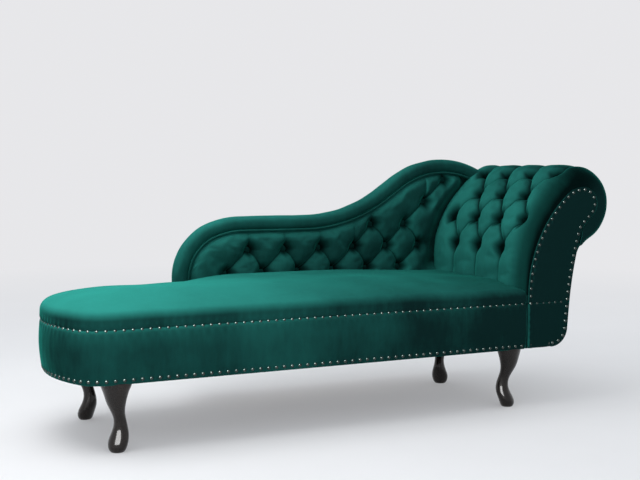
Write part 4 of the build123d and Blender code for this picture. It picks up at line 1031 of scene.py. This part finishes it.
def seen_directly(tree):
    """1 for rays from the camera, from reflections and through clear materials."""
    rays = tree.nodes.new("ShaderNodeLightPath")
    seen = sums(tree, "MAXIMUM", rays.outputs["Is Camera Ray"], rays.outputs["Is Glossy Ray"])
    return sums(tree, "MAXIMUM", seen, rays.outputs["Is Transmission Ray"])


def pale_floor():
    """Pale floor that keeps the shadow; where it is seen directly, a painted glow lightens it a little, its
    shadow too, and far away the glow covers it wholly.
    """
    mesh = bpy.data.meshes.new("floor")
    side, level = 30.0, -0.0005
    corners = [(-side, -side, level), (side, -side, level), (side, side, level), (-side, side, level)]
    mesh.from_pydata(corners, [], [(0, 1, 2, 3)])
    floor = add_object("floor", mesh)
    ground = finish_from("pale_floor", wear, ((0.84, 0.84, 0.85), (0.80, 0.80, 0.81)), 0.8,
                         (0.02, 0.0003), uneven_gloss=False, Roughness=0.55, Specular_IOR_Level=0.0)
    tree = ground.node_tree
    far = tree.nodes.new("ShaderNodeVectorMath")
    far.operation = "LENGTH"
    tree.links.new(tree.nodes["Texture Coordinate"].outputs["Object"], far.inputs[0])
    # Painted glow: a share of emission, seen directly, that lightens the floor and its shadow near by and
    # becomes the backdrop far away
    painted_glow_share = remap(tree, far.outputs["Value"], 1.4, 5.0, 0.3, 1)
    painted_glow_share = sums(tree, "MULTIPLY", painted_glow_share, seen_directly(tree))
    glow = tree.nodes.new("ShaderNodeEmission")
    glow.inputs["Color"].default_value = BACKDROP
    both = tree.nodes.new("ShaderNodeMixShader")
    tree.links.new(painted_glow_share, both.inputs["Fac"])
    tree.links.new(tree.nodes["Principled BSDF"].outputs["BSDF"], both.inputs[1])
    tree.links.new(glow.outputs["Emission"], both.inputs[2])
    tree.links.new(both.outputs["Shader"], tree.nodes["Material Output"].inputs["Surface"])
    mesh.materials.append(ground)


def pale_world():
    """A world that lights softly and shows as the plain backdrop where it is seen directly."""
    world = bpy.data.worlds.new("studio")
    bpy.context.scene.world = world
    world.use_nodes = True
    tree = world.node_tree
    shown = tree.nodes.new("ShaderNodeBackground")
    shown.inputs["Color"].default_value = BACKDROP
    light = tree.nodes["Background"]
    light.inputs["Color"].default_value = (0.92, 0.96, 1.0, 1)
    light.inputs["Strength"].default_value = 0.85
    mix = tree.nodes.new("ShaderNodeMixShader")
    tree.links.new(seen_directly(tree), mix.inputs["Fac"])
    tree.links.new(light.outputs["Background"], mix.inputs[1])
    tree.links.new(shown.outputs["Background"], mix.inputs[2])
    tree.links.new(mix.outputs["Shader"], tree.nodes["World Output"].inputs["Surface"])


def lamps():
    """Soft lamps above the foot end, above the middle and in front, and a window that shows only as a
    reflection in lacquer and metal."""
    for name, place, aim, size, watts in LAMPS:
        lamp = bpy.data.lights.new(name, "AREA")
        lamp.shape = "RECTANGLE"
        lamp.size, lamp.size_y = size
        lamp.energy = watts
        made = add_object(name, lamp)
        made.location = place
        made.visible_diffuse = name != "window"
        aim = [b - a for a, b in zip(place, aim)]
        flat = math.hypot(aim[0], aim[1])
        made.rotation_euler = (math.atan2(flat, -aim[2]), 0, math.atan2(aim[1], aim[0]) - math.pi / 2)


def photo_camera():
    """Camera at the photograph's viewing angle."""
    lens = bpy.data.cameras.new("camera")
    lens.sensor_width, lens.lens = 36.0, 56.25
    made = add_object("camera", lens)
    made.location = (-1.286, -2.700, 0.690)
    made.rotation_euler = (math.radians(86.35), 0, math.radians(-25.12))
    bpy.context.scene.camera = made


pale_floor()
pale_world()
lamps()
photo_camera()
bpy.context.scene.view_settings.view_transform = "Standard"
